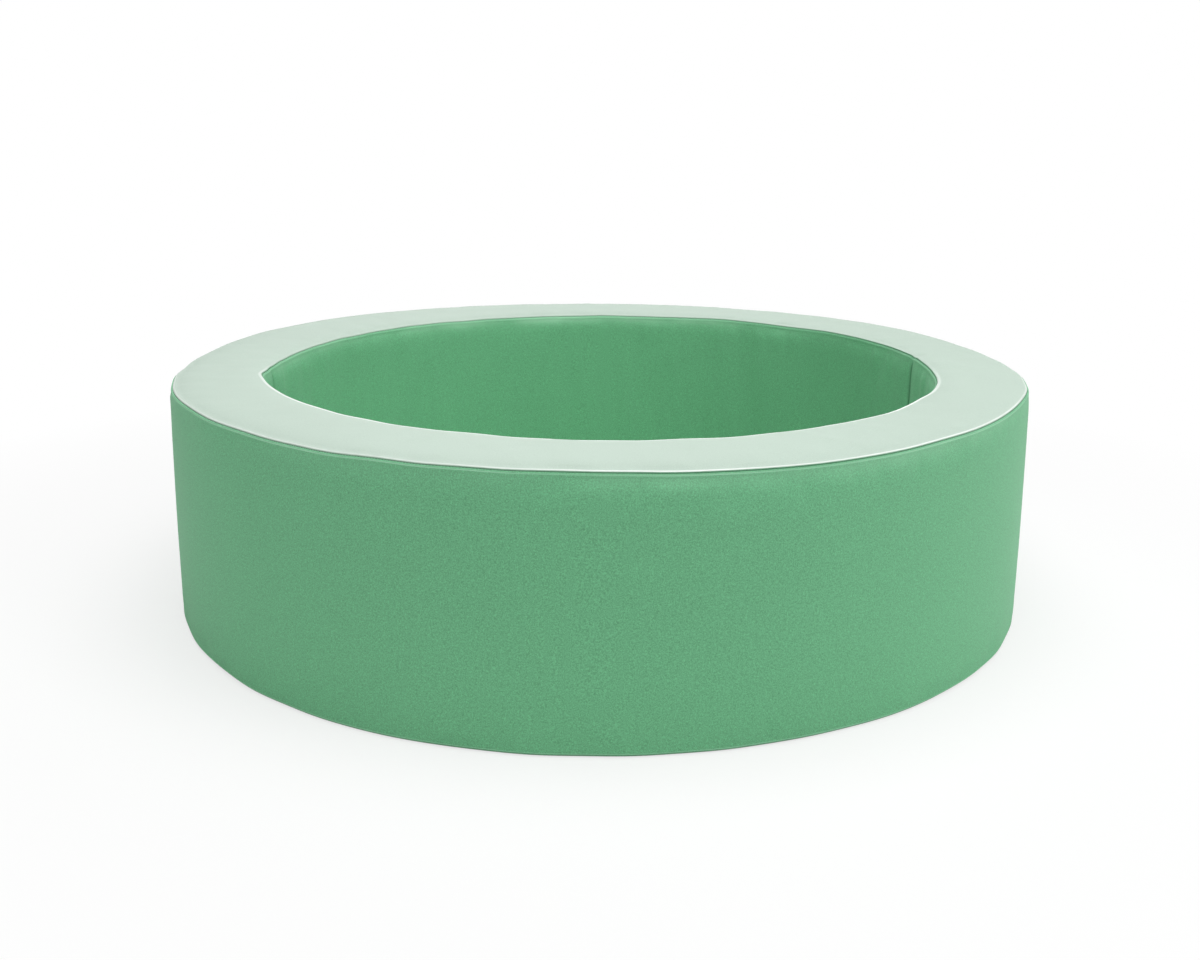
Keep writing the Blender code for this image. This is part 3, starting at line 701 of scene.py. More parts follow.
def painted_values(section, azimuth, first, last, cloth):
    """Painted shade and painted highlight of a swept section, on mint or green cloth.

    Where a groove is shut, its painted shade is taken out, and on green cloth a painted highlight takes
    its place. Green cloth also gets a painted highlight below the seam, which fades down the wall.
    """
    crease = np.tile(section.crease, (len(azimuth), 1))
    painted_highlight = np.tile(section.painted_highlight, (len(azimuth), 1))
    for end, corner in enumerate((first, last)):
        if corner in GROOVES:
            near = section.follow[end]["tuck"]
            shut = 1.0 - round_curve(GROOVES[corner], azimuth)
            line = round_curve(HIGHLIGHT_LINES[corner, cloth], azimuth)
            # Where a groove is shut, green gets a painted highlight in place of its painted shade.
            shut_highlight = np.outer(shut * line * (cloth == "green"), near * section.crease) * SHUT_GROOVE_HIGHLIGHT
            crease *= 1.0 - np.outer(shut, near)
            painted_highlight = np.maximum(painted_highlight * (1.0 - np.outer(1.0 - line, near)), shut_highlight)
            if cloth == "green":
                # Painted highlight on the green below the seam, uneven round the ring.
                power, highlights = SEAM_HIGHLIGHTS[corner]
                uneven = 1.0 + wander(azimuth, RIM_SEEDS[corner] + 2, UNEVEN_SIZE, UNEVEN_WAVES)
                uneven = np.maximum(uneven, UNEVEN_LEAST)
                scaled = np.outer(round_curve(highlights, azimuth) * uneven, near ** power)
                painted_highlight = painted_highlight + scaled * (1.0 - section.crease)
    return {"crease": np.clip(crease, 0.0, 1.0), "painted_highlight": np.clip(painted_highlight, 0.0, 1.0)}


# %% A section swept round the axis
def on_circle(azimuth, radius, height):
    """Points at the azimuths, from arrays of radius and height with a row for each azimuth."""
    turn = np.radians(azimuth)[:, None]
    return np.stack([radius * np.cos(turn), radius * np.sin(turn), height], axis=-1)


def shifted(points, follow, azimuth):
    """Radius and height of points at every azimuth; follow: how far they follow each named corner."""
    radius, height = (np.tile(part, (len(azimuth), 1)) for part in points.T)
    for corner, near in follow.items():
        for kind, (outwards, upwards) in rim_shifts(corner, azimuth).items():
            radius = radius + np.outer(outwards, near[kind])
            height = height + np.outer(upwards, near[kind])
    return radius, height


def swept(section, azimuth, first, last, swell=(0.0, 0.0)):
    """Radius and height of a section's points at every azimuth, with its corners' shifts."""
    follow = {corner: near for corner, near in zip((first, last), section.follow) if corner}
    radius, height = shifted(section.points, follow, azimuth)
    full = 1.0 - (2.0 * section.share - 1.0) ** 4
    return radius + swell[0] * full, height + swell[1] * full


# %% From a grid of points to a mesh
def join_close(mesh, distance=0.000002):
    """Merge points at the same place, so that poles and seams are closed, and drop what has no face."""
    builder = bmesh.new()
    builder.from_mesh(mesh)
    bmesh.ops.remove_doubles(builder, verts=builder.verts, dist=distance)
    bare = [edge for edge in builder.edges if not edge.link_faces]
    bmesh.ops.delete(builder, geom=bare, context="EDGES")
    unused = [point for point in builder.verts if not point.link_faces]
    bmesh.ops.delete(builder, geom=unused, context="VERTS")
    builder.to_mesh(mesh)
    builder.free()


def quads_through(stations, width, closed, loop=False):
    """Corner numbers of the quads of a grid, closed round the axis or looped across if asked."""
    index = np.arange(stations * width).reshape(stations, width)
    if closed:
        index = np.vstack([index, index[:1]])
    if loop:
        index = np.hstack([index, index[:, :1]])
    return np.stack([index[:-1, :-1], index[1:, :-1], index[1:, 1:], index[:-1, 1:]], axis=-1)


def painted_mesh(name, grid, closed, material, values=None, keep=None, loop=False):
    """A piece of quads through a grid of points, with painted values; keep says which quads stay."""
    stations, width = grid.shape[:2]
    quads = quads_through(stations, width, closed, loop)
    quads = quads.reshape(-1, 4) if keep is None else quads[keep]
    faces = quads.tolist()
    if loop and not closed:
        faces += [list(range(width)), list(range(stations * width - 1, (stations - 1) * width - 1, -1))]
    mesh = bpy.data.meshes.new(name)
    mesh.from_pydata(grid.reshape(-1, 3).tolist(), [], faces)
    for title, value in (values or {}).items():
        layer = mesh.attributes.new(title, "FLOAT", "POINT")
        layer.data.foreach_set("value", np.broadcast_to(value, (stations, width)).ravel())
    mesh.materials.append(material)
    join_close(mesh)
    mesh.shade_smooth()
    return linked(name, mesh)


# %% From a mesh to a finished piece
def applied(piece):
    """Turn a piece's modifiers into its plain mesh."""
    graph = bpy.context.evaluated_depsgraph_get()
    mesh = bpy.data.meshes.new_from_object(piece.evaluated_get(graph))
    piece.modifiers.clear()
    piece.data = mesh
    return piece


def give_thickness(piece, thickness=COVER):
    """Solidify a sheet inwards, so that the piece is a closed shell."""
    shell = piece.modifiers.new("leatherette", "SOLIDIFY")
    shell.thickness = thickness
    shell.offset = -1.0
    shell.use_even_offset = True
    applied(piece)
    print(f"{piece.name}: {len(piece.data.polygons)} faces")
    return piece


def place(piece, body, node, slot):
    """Let a piece ride on its body, in the stead of a solid; its slot argument is not used."""
    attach(piece, body)
    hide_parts(node)
    return piece


# %% [markdown]
# ## Loose cloth
#
# Leatherette over foam isn't smooth everywhere: where a seam was pulled tight, the panel beside it is
# too long and puckers. Blender's cloth solver does that better than a drawn wave. A coarse grid of
# each panel is held along its seams, given a little extra length beside them, more where the seam is
# tucked in, and pressed outwards by the foam for 20 frames. Only how far each point then stands off
# the face is kept. It is capped, smoothed onto the panel's fine grid and never goes into the foam.

# %% A panel as held cloth
SETTLE_FRAMES = 20
EXTRA_LENGTH = 0.02
LOOSE_LEAST, LOOSE_TUCK, LOOSE_REACH = 0.25, 0.0018, 0.05
LOOSE_LEVELS = 10


def looseness(corner, azimuth):
    """0 to 1: how much extra length a panel has beside a seam."""
    base, _ = TUCKS.get(corner, (0.0, ()))
    return np.clip(LOOSE_LEAST + (tuck_depth(corner, azimuth) - base) / LOOSE_TUCK, 0.0, 1.0)


def held_cloth(name, points, loose):
    """A closed ring of cloth through a grid of points, held at both edges; loose: 0 to 1 a point."""
    stations, width = points.shape[:2]
    mesh = bpy.data.meshes.new(name)
    faces = quads_through(stations, width, True).reshape(-1, 4).tolist()
    mesh.from_pydata(points.reshape(-1, 3).tolist(), [], faces)
    cloth = linked(name, mesh)
    index = np.arange(stations * width).reshape(stations, width)
    cloth.vertex_groups.new(name="held").add(index[:, [0, -1]].ravel().tolist(), 1.0, "REPLACE")
    tight = cloth.vertex_groups.new(name="tight")
    for level in range(LOOSE_LEVELS + 1):
        chosen = index[np.round(loose * LOOSE_LEVELS) == level]
        tight.add(chosen.tolist(), 1.0 - level / LOOSE_LEVELS, "REPLACE")
    solver = cloth.modifiers.new("cloth", "CLOTH")
    solver.point_cache.frame_start, solver.point_cache.frame_end = 1, SETTLE_FRAMES
    solver.collision_settings.use_collision = False
    skin = solver.settings
    skin.quality, skin.mass, skin.air_damping = 5, 0.3, 2.0
    skin.tension_stiffness = skin.compression_stiffness = 15.0
    skin.shear_stiffness, skin.bending_stiffness = 5.0, 2.0
    skin.vertex_group_mass, skin.vertex_group_shrink = "held", "tight"
    skin.shrink_min, skin.shrink_max = -EXTRA_LENGTH, 0.0
    skin.use_pressure, skin.uniform_pressure_force = True, 1.0
    skin.effector_weights.gravity = 0.0
    return cloth


# %% Settling a panel as cloth
SETTLE_STATIONS = 360
RELIEF_CAP, RELIEF_SINK = 0.0030, 0.0004
RIPPLE, RIPPLE_WAVES, RIPPLE_REACH = 0.0004, 50, 0.03


def settled(name, grid, away, corners, seed, give):
    """How far each point of a panel stands off its face, as rows for each station of azimuth.

    grid: the panel's points for an array of how far they stand off; away: distance of each point
    across from the panel's start, and from its end; corners: the seam at each, or None; give: share
    of the result that is kept.
    """
    azimuth = np.arange(SETTLE_STATIONS) * 360.0 / SETTLE_STATIONS
    flat = np.zeros((SETTLE_STATIONS, len(away[0])))
    start = flat.copy()
    loose = flat.copy()
    for corner, distance in zip(corners, away):
        if corner is None:
            continue
        for step in range(3):
            ripple = wander(azimuth, seed + step, RIPPLE, RIPPLE_WAVES)
            start += np.outer(ripple, np.exp(-distance / RIPPLE_REACH))
        loose += np.outer(looseness(corner, azimuth), np.exp(-distance / LOOSE_REACH))
        seed += 10
    cloth = held_cloth(name, grid(azimuth, start), np.clip(loose, 0.0, 1.0))
    for frame in range(1, SETTLE_FRAMES + 1):
        bpy.context.scene.frame_set(frame)
    result = cloth.evaluated_get(bpy.context.evaluated_depsgraph_get()).data
    places = np.empty(len(result.vertices) * 3)
    result.vertices.foreach_get("co", places)
    bare = grid(azimuth, flat)
    outwards = grid(azimuth, flat + 1.0) - bare
    off = ((places.reshape(bare.shape) - bare) * outwards).sum(axis=2)
    bpy.data.objects.remove(cloth)
    bpy.context.scene.frame_set(1)
    off = (off - off.mean(axis=0)) * give
    print(f"{name}: settled to between {off.min() * 1000:.2f} and {off.max() * 1000:.2f} mm")
    limit = np.where(off > 0.0, RELIEF_CAP, RELIEF_SINK)
    relief = limit * np.tanh(off / limit)
    relief[:, [0, -1]] = 0.0
    print(f"{name}: stands off by {relief.min() * 1000:.2f} to {relief.max() * 1000:.2f} mm")
    return relief


# %% Settling the ring's panels
CLOSER = 0.75


def across_face(length, count):
    """Distances across a face, closer together beside its two seams."""
    share = np.linspace(0.0, 1.0, count)
    wave = 0.5 - 0.5 * np.cos(np.pi * share)
    return (CLOSER * wave + (1.0 - CLOSER) * share) * length


def wall_grid(radius, low, high, side):
    """A wall's points, upwards if its section runs upwards; side is 1 outside and -1 in the pit."""
    run = across_face(abs(high - low), 33)
    level = low + np.sign(high - low) * run

    def grid(azimuth, off):
        return on_circle(azimuth, radius + side * off, np.tile(level, (len(azimuth), 1)))
    return grid, run


def level_grid(outer, inner, level, count):
    """The points of a level ring, from its outer seam inwards."""
    run = across_face(outer - inner, count)

    def grid(azimuth, off):
        return on_circle(azimuth, np.tile(outer - run, (len(azimuth), 1)), level + off)
    return grid, run


class Relief:
    """A settled panel, to be read at any azimuth and share across."""

    def __init__(self, name, grid_and_run, corners, seed, give):
        grid, self.run = grid_and_run
        self.rows = settled(name, grid, (self.run, self.run[-1] - self.run), corners, seed, give)

    def at(self, azimuth, share):
        rows = np.array([np.interp(share * self.run[-1], self.run, row) for row in self.rows])
        return round_curve(rows, azimuth)


face_low, face_high = RING_EDGE, top_level - RING_EDGE
outer_relief = Relief("outer_wall_cloth", wall_grid(outer_tip, face_low, face_high, 1.0),
                      ("outer_base", "outer_top"), 101, 1.1)
inner_relief = Relief("inner_wall_cloth", wall_grid(PIT_RADIUS, face_high, face_low, -1.0),
                      ("pit_top", "pit_base"), 202, 0.6)
top_grid = level_grid(outer_tip - RING_EDGE, PIT_RADIUS + RING_EDGE, top_level, 17)
top_relief = Relief("top_cloth", top_grid, ("outer_top", "pit_top"), 303, 0.4)

# %% [markdown]
# ## The two walls
#
# Each wall is sewn from two halves. At the upright seams a half's end rolls over and turns into the
# foam, as its long edges do. The end is a few extra columns of the grid that go inwards instead of on.

# %% Columns of a half wall
COLUMN = 0.5
HEM_DEPTHS = (0.010, 0.0075, 0.005, 0.003)
HEM_FADE = 0.012


def half_columns(start, radius):
    """Azimuth and depth of each column of a half wall that starts at the azimuth start."""
    end = [(HALF_SEAM, depth) for depth in HEM_DEPTHS]
    for turn in np.linspace(math.pi / 2, 0.0, 7):
        end.append((HALF_SEAM + ROLL * (1 - math.sin(turn)), ROLL * (1 - math.cos(turn))))
    away = np.degrees([distance / radius for distance, _ in end])
    depth = np.array([value for _, value in end])
    inside = np.arange(COLUMN, 180.0, COLUMN)
    azimuth = np.concatenate([away, inside, 180.0 - away[::-1]]) + start
    return azimuth, np.concatenate([depth, np.zeros(len(inside)), depth[::-1]])


def on_wall(height, radius=RING_EDGE):
    """1 on a wall's face, fading to 0 at its two corners, where the long hems are."""
    clear = np.minimum(height - radius, top_level - radius - height)
    return np.clip(clear / HEM_FADE, 0.0, 1.0)


# %% Half walls
SEAM_SHADE = {-1.0: 0.4, 1.0: 0.85}
SEAM_SPREAD = {-1.0: 0.003, 1.0: 0.0045}
LEFT_SEAM_SHADE = 0.3


def half_wall(name, section, start, first, last, inwards, swell, relief):
    """Half of a wall, with its ends rolled into the upright seams."""
    azimuth, depth = half_columns(start, CORNERS[first][0][0])
    radius, height = swept(section, azimuth, first, last, swell)
    radius = radius - inwards * relief.at(azimuth, section.share)
    on_face = on_wall(section.points[:, 1]) * (section.crease == 0.0)
    grid = on_circle(azimuth, radius + inwards * np.outer(depth, on_face), height)
    values = painted_values(section, azimuth, first, last, "green")
    # Painted shade in and beside the upright seams: darker and wider in the pit, weaker at the far seam.
    away = np.radians(from_seam(azimuth)) * CORNERS[first][0][0]
    shade = SEAM_SHADE[inwards] * np.exp(-((away / SEAM_SPREAD[inwards]) ** 2))
    shade = shade * np.where(from_azimuth(azimuth, SEAM_AZIMUTH) < 90.0, 1.0, LEFT_SEAM_SHADE)
    painted_seam_shade = np.outer(np.maximum(np.clip(depth / ROLL, 0.0, 1.0), shade), on_face)
    values["crease"] = np.maximum(values["crease"], painted_seam_shade)
    return give_thickness(painted_mesh(name, grid, False, green_leatherette, values))


HALVES = (("back", SEAM_AZIMUTH), ("front", SEAM_AZIMUTH + 180.0))
for side, start in HALVES:
    outer = half_wall("outer_cover_" + side, outer_section, start, "outer_base", "outer_top",
                      -1.0, (OUTER_BULGE, 0.0), outer_relief)
    inner = half_wall("inner_cover_" + side, inner_section, start, "pit_top", "pit_base",
                      1.0, (0.0, 0.0), inner_relief)
    for wall, node, radius in ((outer, "outer_wall_", RING_RADIUS), (inner, "inner_wall_", PIT_RADIUS)):
        place(wall, "ring", node + side, "green_vinyl")

# %% [markdown]
# ## The top
#
# The top is one mint ring between the two rims, crowned a little by the foam under it.

# %% The top panel
circle = np.arange(0.0, 360.0, COLUMN) + SEAM_AZIMUTH
coarse_circle = circle[::2]
top_radius, top_height = swept(top_section, circle, "outer_top", "pit_top", (0.0, TOP_CROWN))
top_height = top_height + top_relief.at(circle, top_section.share)
top_cover = painted_mesh(
    "top_cover", on_circle(circle, top_radius, top_height), True, mint_leatherette,
    painted_values(top_section, circle, "outer_top", "pit_top", "mint"))
place(give_thickness(top_cover), "ring", "top_panel", "mint_vinyl")

# %% [markdown]
# ## The base, with its slit
#
# The cover has to come off for washing, so a zip is let into its underside. Over the zip the panel is
# lifted into a shallow channel in the foam, which keeps the slider off the floor. A slit follows the
# zip's arc. The channel is a smooth rise of the grid, and the slit is a run of quads left out.

# %% Channels and slits
def arc_degrees(length, radius):
    """The angle of an arc."""
    return math.degrees(length / radius)


SLIT_END = arc_degrees(0.002, RING_ZIP_RADIUS)
SLIT_SHADE = 0.6
SAME = 0.0001


def eased(value):
    """0 to 1 with level ends."""
    value = np.clip(value, 0.0, 1.0)
    return value * value * (3.0 - 2.0 * value)


def channel_rise(azimuth, radius, zip_radius):
    """Share of a channel's full height at a point of a base panel."""
    run = (azimuth - SEAM_AZIMUTH) % 360.0
    ends = ZIP_FROM - SEAM_AZIMUTH
    along = eased(run / ends) * eased((180.0 - run) / ends)
    aside = eased((CHANNEL_FOOT - np.abs(radius - zip_radius)) / (CHANNEL_FOOT - CHANNEL_TOP))
    return np.where(run[:, None] <= 180.0, along[:, None] * aside, 0.0)


def across_channel(start, end, zip_radius):
    """Radii across a base panel: fine over the channel, with a point on each edge of its slit."""
    stops = [start, zip_radius - CHANNEL_FOOT, zip_radius - CHANNEL_TOP, zip_radius - SLIT_HALF,
             zip_radius + SLIT_HALF, zip_radius + CHANNEL_TOP, zip_radius + CHANNEL_FOOT, end]
    counts = [5, 6, 5, 4, 5, 6, 5]
    radii = [np.linspace(near, far, count, endpoint=False)
             for near, far, count in zip(stops, stops[1:], counts)]
    return np.concatenate(radii)[1:]


slit_circle = np.sort(np.concatenate([coarse_circle, [ZIP_FROM - SLIT_END, ZIP_TO + SLIT_END]]))


def base_cover(name, section, azimuth, first, last, zip_radius, material):
    """A base panel with its channel and slit."""
    radius, height = swept(section, azimuth, first, last)
    height = height + CHANNEL_LIFT * channel_rise(azimuth, radius, zip_radius)
    middle = (section.points[:-1, 0] + section.points[1:, 0]) / 2
    step = (azimuth + np.append(azimuth[1:], azimuth[0] + 360.0)) / 2
    in_slit = (step > ZIP_FROM - SLIT_END) & (step < ZIP_TO + SLIT_END)
    keep = ~np.outer(in_slit, np.abs(middle - zip_radius) < SLIT_HALF)
    # Painted shade along the edges of the slit.
    edge = np.abs(np.abs(section.points[:, 0] - zip_radius) - SLIT_HALF) < SAME
    near_slit = (azimuth > ZIP_FROM - SLIT_END * 2) & (azimuth < ZIP_TO + SLIT_END * 2)
    crease = np.maximum(section.crease, np.outer(near_slit, edge) * SLIT_SHADE)
    base = painted_mesh(name, on_circle(azimuth, radius, height), True, material,
                        {"crease": crease, "painted_highlight": section.painted_highlight}, keep)
    return give_thickness(base)


# %% The ring's base panel
base_head, base_tail = edge_of("pit_base", DOWN), edge_of("outer_base", DOWN)
base_radii = across_channel(base_head[-1][0][0], base_tail[-1][0][0], RING_ZIP_RADIUS)
base_section = Section(base_head, [np.array((radius, 0.0)) for radius in base_radii], base_tail)
ring_base = base_cover("base_cover", base_section, slit_circle, "pit_base", "outer_base",
                       RING_ZIP_RADIUS, mint_leatherette)
place(ring_base, "ring", "base_panel", "mint_vinyl")

# %% [markdown]
# ## The foam
#
# Two foam halves fill the cover and meet on the line of the upright seams. They have slots where the
# panels' raw edges turn in, and the zip's channel underneath. Nothing shows of them while the cover
# is closed, but they are real pieces, so they follow the cover's shape just below it.

# %% Foam outlines
FOAM_REST = 0.0004
HEM_SLOT = HALF_SEAM + COVER + GAP
foam_in = COVER + GAP + FOAM_REST


def foam_corner(corner, first_face, last_face):
    """The foam's line round a corner, with the slot that takes two turned-in edges."""
    tip, side, level, edge = CORNERS[corner]
    centre, diagonal = tip - (side + level) * edge, (side + level) / math.sqrt(2)
    radius = edge - foam_in
    mouth = math.asin(HEM_SLOT / radius)
    line = []
    for face, turns in ((first_face, np.linspace(math.pi / 4, mouth, 4)),
                        (last_face, np.linspace(mouth, math.pi / 4, 4))):
        aside = (face - diagonal * face.dot(diagonal)) * math.sqrt(2)
        arc = [centre + radius * (diagonal * math.cos(turn) + aside * math.sin(turn)) for turn in turns]
        floor_point = centre + diagonal * (edge - ALLOWANCE - GAP) + aside * HEM_SLOT
        line += arc + [floor_point] if face is first_face else [floor_point] + arc
    return line


def foam_point(corner, face):
    """Where a face of the foam starts at a corner."""
    tip, side, level, edge = CORNERS[corner]
    return tip - face * foam_in - (level if face is side else side) * edge


class Loop:
    """The foam's closed outline: corner lines and the faces between them."""

    def __init__(self, corners):
        self.points = []
        self.follow = {corner: {kind: [] for kind in SHIFTS} for corner in corners}

    def add(self, points, near):
        """near: how far each point follows a corner, for each corner and kind of shift."""
        self.points += list(points)
        for corner, kinds in self.follow.items():
            for kind, values in kinds.items():
                values += list(near.get((corner, kind), np.zeros(len(points))))

    def corner(self, name, first_face, last_face):
        line = foam_corner(name, first_face, last_face)
        self.add(line, {(name, kind): np.ones(len(line)) for kind in SHIFTS})

    def face(self, face, first, last, points, wall=False):
        """A face from corner to corner; points: its points, or how many there are, evenly spaced."""
        start = foam_point(first, face)
        end = foam_point(last, face) if last else points[-1]
        if isinstance(points, int):
            points = evenly(start, end, points)
        line, near = np.array(points), {}
        for kind in SHIFTS:
            near[first, kind] = following(kind, line, start, wall)
            if last:
                near[last, kind] = following(kind, line[::-1], end, wall)[::-1]
        self.add(points, near)

    def swept(self, azimuth, zip_radius):
        """The outline at every azimuth, lifted over the zip's channel."""
        points = np.array(self.points)
        radius, height = shifted(points, self.follow, azimuth)
        lift = (CHANNEL_ROOF - foam_in) * channel_rise(azimuth, radius, zip_radius)
        return radius, height + lift * (points[:, 1] < foam_in + SAME)


# %% The ring's two foam halves
CROWN_MIDDLE, CROWN_HALF = 0.575, 0.070
BULGE_HALF = 0.168
NEAR_FACE = 0.003

ring_loop = Loop(["outer_base", "outer_top", "pit_top", "pit_base"])
ring_under = [np.array((radius, foam_in)) for radius in across_channel(
    PIT_RADIUS + RING_EDGE, outer_tip - RING_EDGE, RING_ZIP_RADIUS)]
ring_loop.corner("outer_base", DOWN, OUT)
ring_loop.face(OUT, "outer_base", "outer_top", 24, wall=True)
ring_loop.corner("outer_top", OUT, UP)
ring_loop.face(UP, "outer_top", "pit_top", 14)
ring_loop.corner("pit_top", UP, IN)
ring_loop.face(IN, "pit_top", "pit_base", 24, wall=True)
ring_loop.corner("pit_base", IN, DOWN)
ring_loop.face(DOWN, "pit_base", "outer_base", ring_under)
print("points round the ring's foam:", len(ring_loop.points))


def foam_columns(start):
    """Azimuth and rebate depth of each station of a foam half."""
    ends = np.degrees(np.array([HALF_SEAM, HEM_SLOT, HEM_SLOT]) / PIT_RADIUS)
    inside = np.arange(1.0, 180.0, 1.0)
    azimuth = np.concatenate([ends, inside, 180.0 - ends[::-1]]) + start
    rebate = ALLOWANCE + GAP
    depth = np.concatenate([[rebate, rebate, 0.0], np.zeros(len(inside)), [0.0, rebate, rebate]])
    return azimuth, depth


def foam_half(name, start):
    """Half of the foam ring, with rebates at its ends for the walls' upright hems."""
    azimuth, depth = foam_columns(start)
    radius, height = ring_loop.swept(azimuth, RING_ZIP_RADIUS)
    flat_radius, flat_height = np.array(ring_loop.points).T
    crown = 1.0 - np.clip(np.abs(flat_radius - CROWN_MIDDLE) / CROWN_HALF, 0.0, 1.0) ** 4
    height = height + TOP_CROWN * crown * (flat_height > top_level - NEAR_FACE)
    bulge = 1.0 - np.clip(np.abs(flat_height - top_level / 2) / BULGE_HALF, 0.0, 1.0) ** 4
    outside, inside = flat_radius > outer_tip - NEAR_FACE, flat_radius < PIT_RADIUS + NEAR_FACE
    radius = radius + OUTER_BULGE * bulge * outside
    cut = np.outer(depth, on_wall(flat_height))
    radius = radius - cut * outside + cut * inside
    half = painted_mesh(name, on_circle(azimuth, radius, height), False, foam, loop=True)
    print(f"{name}: {len(half.data.polygons)} faces")
    return half


for side, start in HALVES:
    half = foam_half("foam_" + side, start)
    place(half, "ring", "foam_half_" + side, "foam")

# %% [markdown]
# ## The floor mat
#
# The mat is a round foam pad in the same leatherette: a mint top, a green border strip and a mint
# base with its own zip. It lies loose in the pit and lifts out. Its top is a disc, so the grid's
# columns meet in a pole in the middle, where the points are merged.

# %% The mat's border and top
MAT_STILL = 0.06
MAT_EDGE_RINGS, MAT_FLAT_RINGS = 16, 24

border_section = plain_section("mat_base", "mat_top", OUT, 8)
mat_border = painted_mesh(
    "mat_border_cover",
    on_circle(coarse_circle, *swept(border_section, coarse_circle, "mat_base", "mat_top")),
    True, green_leatherette, border_section.plain_paint())
place(give_thickness(mat_border), "mat", "mat_border", "green_vinyl")

mat_head = edge_of("mat_top", UP)
mat_face_radius = mat_head[-1][0][0]
mat_radii = np.concatenate([
    np.linspace(mat_face_radius, MAT_RADIUS - MAT_CROWN_WIDTH, MAT_EDGE_RINGS)[1:],
    np.linspace(MAT_RADIUS - MAT_CROWN_WIDTH, 0.0, MAT_FLAT_RINGS)[1:]])
mat_heights = mat_level + MAT_CROWN * eased((mat_face_radius - mat_radii) / MAT_CROWN_WIDTH)
mat_top_section = Section(mat_head, [np.array(pair) for pair in zip(mat_radii, mat_heights)], [])
mat_grid = level_grid(mat_face_radius, MAT_STILL, mat_level, 25)
mat_relief = Relief("mat_top_cloth", mat_grid, ("mat_top", None), 404, 0.8)
mat_share = np.minimum(mat_top_section.share * mat_face_radius / (mat_face_radius - MAT_STILL), 1.0)
mat_top_radius, mat_top_height = swept(mat_top_section, coarse_circle, "mat_top", None)
mat_top_height = mat_top_height + mat_relief.at(coarse_circle, mat_share)
mat_top = painted_mesh(
    "mat_top_cover", on_circle(coarse_circle, mat_top_radius, mat_top_height),
    True, mint_leatherette, mat_top_section.plain_paint())
place(give_thickness(mat_top), "mat", "mat_top_panel", "mint_vinyl")

# %% The mat's base panel, and the flat cuts
MAT_HUB = 0.02

mat_tail = edge_of("mat_base", DOWN)
mat_radii_out = across_channel(0.0, mat_tail[-1][0][0], MAT_ZIP_RADIUS)
mat_base_radii = np.concatenate([[0.0], np.linspace(MAT_HUB, mat_radii_out[0], 5)[:-1], mat_radii_out])
mat_base_section = Section([], [np.array((radius, 0.0)) for radius in mat_base_radii], mat_tail)
mat_base = base_cover("mat_base_cover", mat_base_section, slit_circle, None, "mat_base",
                      MAT_ZIP_RADIUS, mint_leatherette)
place(mat_base, "mat", "mat_base_panel", "mint_vinyl")

# %% The mat's foam
mat_loop = Loop(["mat_base", "mat_top"])
mat_over = [np.array((radius, height - foam_in)) for radius, height in zip(mat_radii, mat_heights)]
mat_loop.corner("mat_base", DOWN, OUT)
mat_loop.face(OUT, "mat_base", "mat_top", 6)
mat_loop.corner("mat_top", OUT, UP)
mat_loop.face(UP, "mat_top", None, mat_over)
mat_loop.add([np.array((radius, foam_in)) for radius in mat_base_radii], {})

mat_azimuth = np.arange(0.0, 360.0, 1.0) + SEAM_AZIMUTH
mat_outline = on_circle(mat_azimuth, *mat_loop.swept(mat_azimuth, MAT_ZIP_RADIUS))
mat_foam = painted_mesh("mat_pad", mat_outline, True, foam, loop=True)
place(mat_foam, "mat", "mat_foam", "foam")
print(f"mat_pad: {len(mat_foam.data.polygons)} faces")

# %% [markdown]
# ## A helper for Geometry Nodes
#
# What repeats along a seam or a zip is made by Geometry Nodes: the trees are built here, with named
# inputs for their sizes. A modifier's input is set by the socket's identifier. Each tree ends in
# Realize Instances and Set Material, and its result is turned into a plain mesh.


# %% Trees of Geometry Nodes
class Growth(Network):
    """A Geometry Nodes tree with named inputs."""

    def __init__(self, name, inputs):
        super().__init__(bpy.data.node_groups.new(name, "GeometryNodeTree"))
        self.sockets = {}
        new_socket = self.tree.interface.new_socket
        new_socket(name="Geometry", in_out="INPUT", socket_type="NodeSocketGeometry")
        for title, kind in inputs.items():
            self.sockets[title] = new_socket(
                name=title, in_out="INPUT", socket_type="NodeSocket" + kind).identifier
        new_socket(name="Geometry", in_out="OUTPUT", socket_type="NodeSocketGeometry")
        self.given = self.tree.nodes.new("NodeGroupInput").outputs

    def vector(self, operation, inputs):
        return self.add("ShaderNodeVectorMath", {"operation": operation}, inputs).outputs[0]

    def finish(self, geometry):
        """The last two nodes of every tree here."""
        real = self.add("GeometryNodeRealizeInstances", None, {"Geometry": geometry})
        dressed = self.add("GeometryNodeSetMaterial", None, {
            "Geometry": real.outputs["Geometry"], "Material": self.given["Material"]})
        output = self.tree.nodes.new("NodeGroupOutput")
        self.tree.links.new(dressed.outputs["Geometry"], output.inputs["Geometry"])

    def grow(self, name, path, values):
        """Run the tree on a path of points and return the result as a piece with a plain mesh."""
        mesh = bpy.data.meshes.new(name)
        mesh.from_pydata(path, [(index, index + 1) for index in range(len(path) - 1)], [])
        piece = linked(name, mesh)
        tool = piece.modifiers.new(self.tree.name, "NODES")
        tool.node_group = self.tree
        for title, value in values.items():
            tool[self.sockets[title]] = value
        applied(piece)
        piece.data.shade_smooth()
        print(f"{name}: {len(piece.data.polygons)} faces")
        return piece


# %% [markdown]
# ## Zips
#
# A coil zip is two woven tapes, each with a spiral of nylon sewn along its edge. Its slider is cast
# metal with a loop, the bail, that holds the pull. Both zips here are arcs, seen from below.

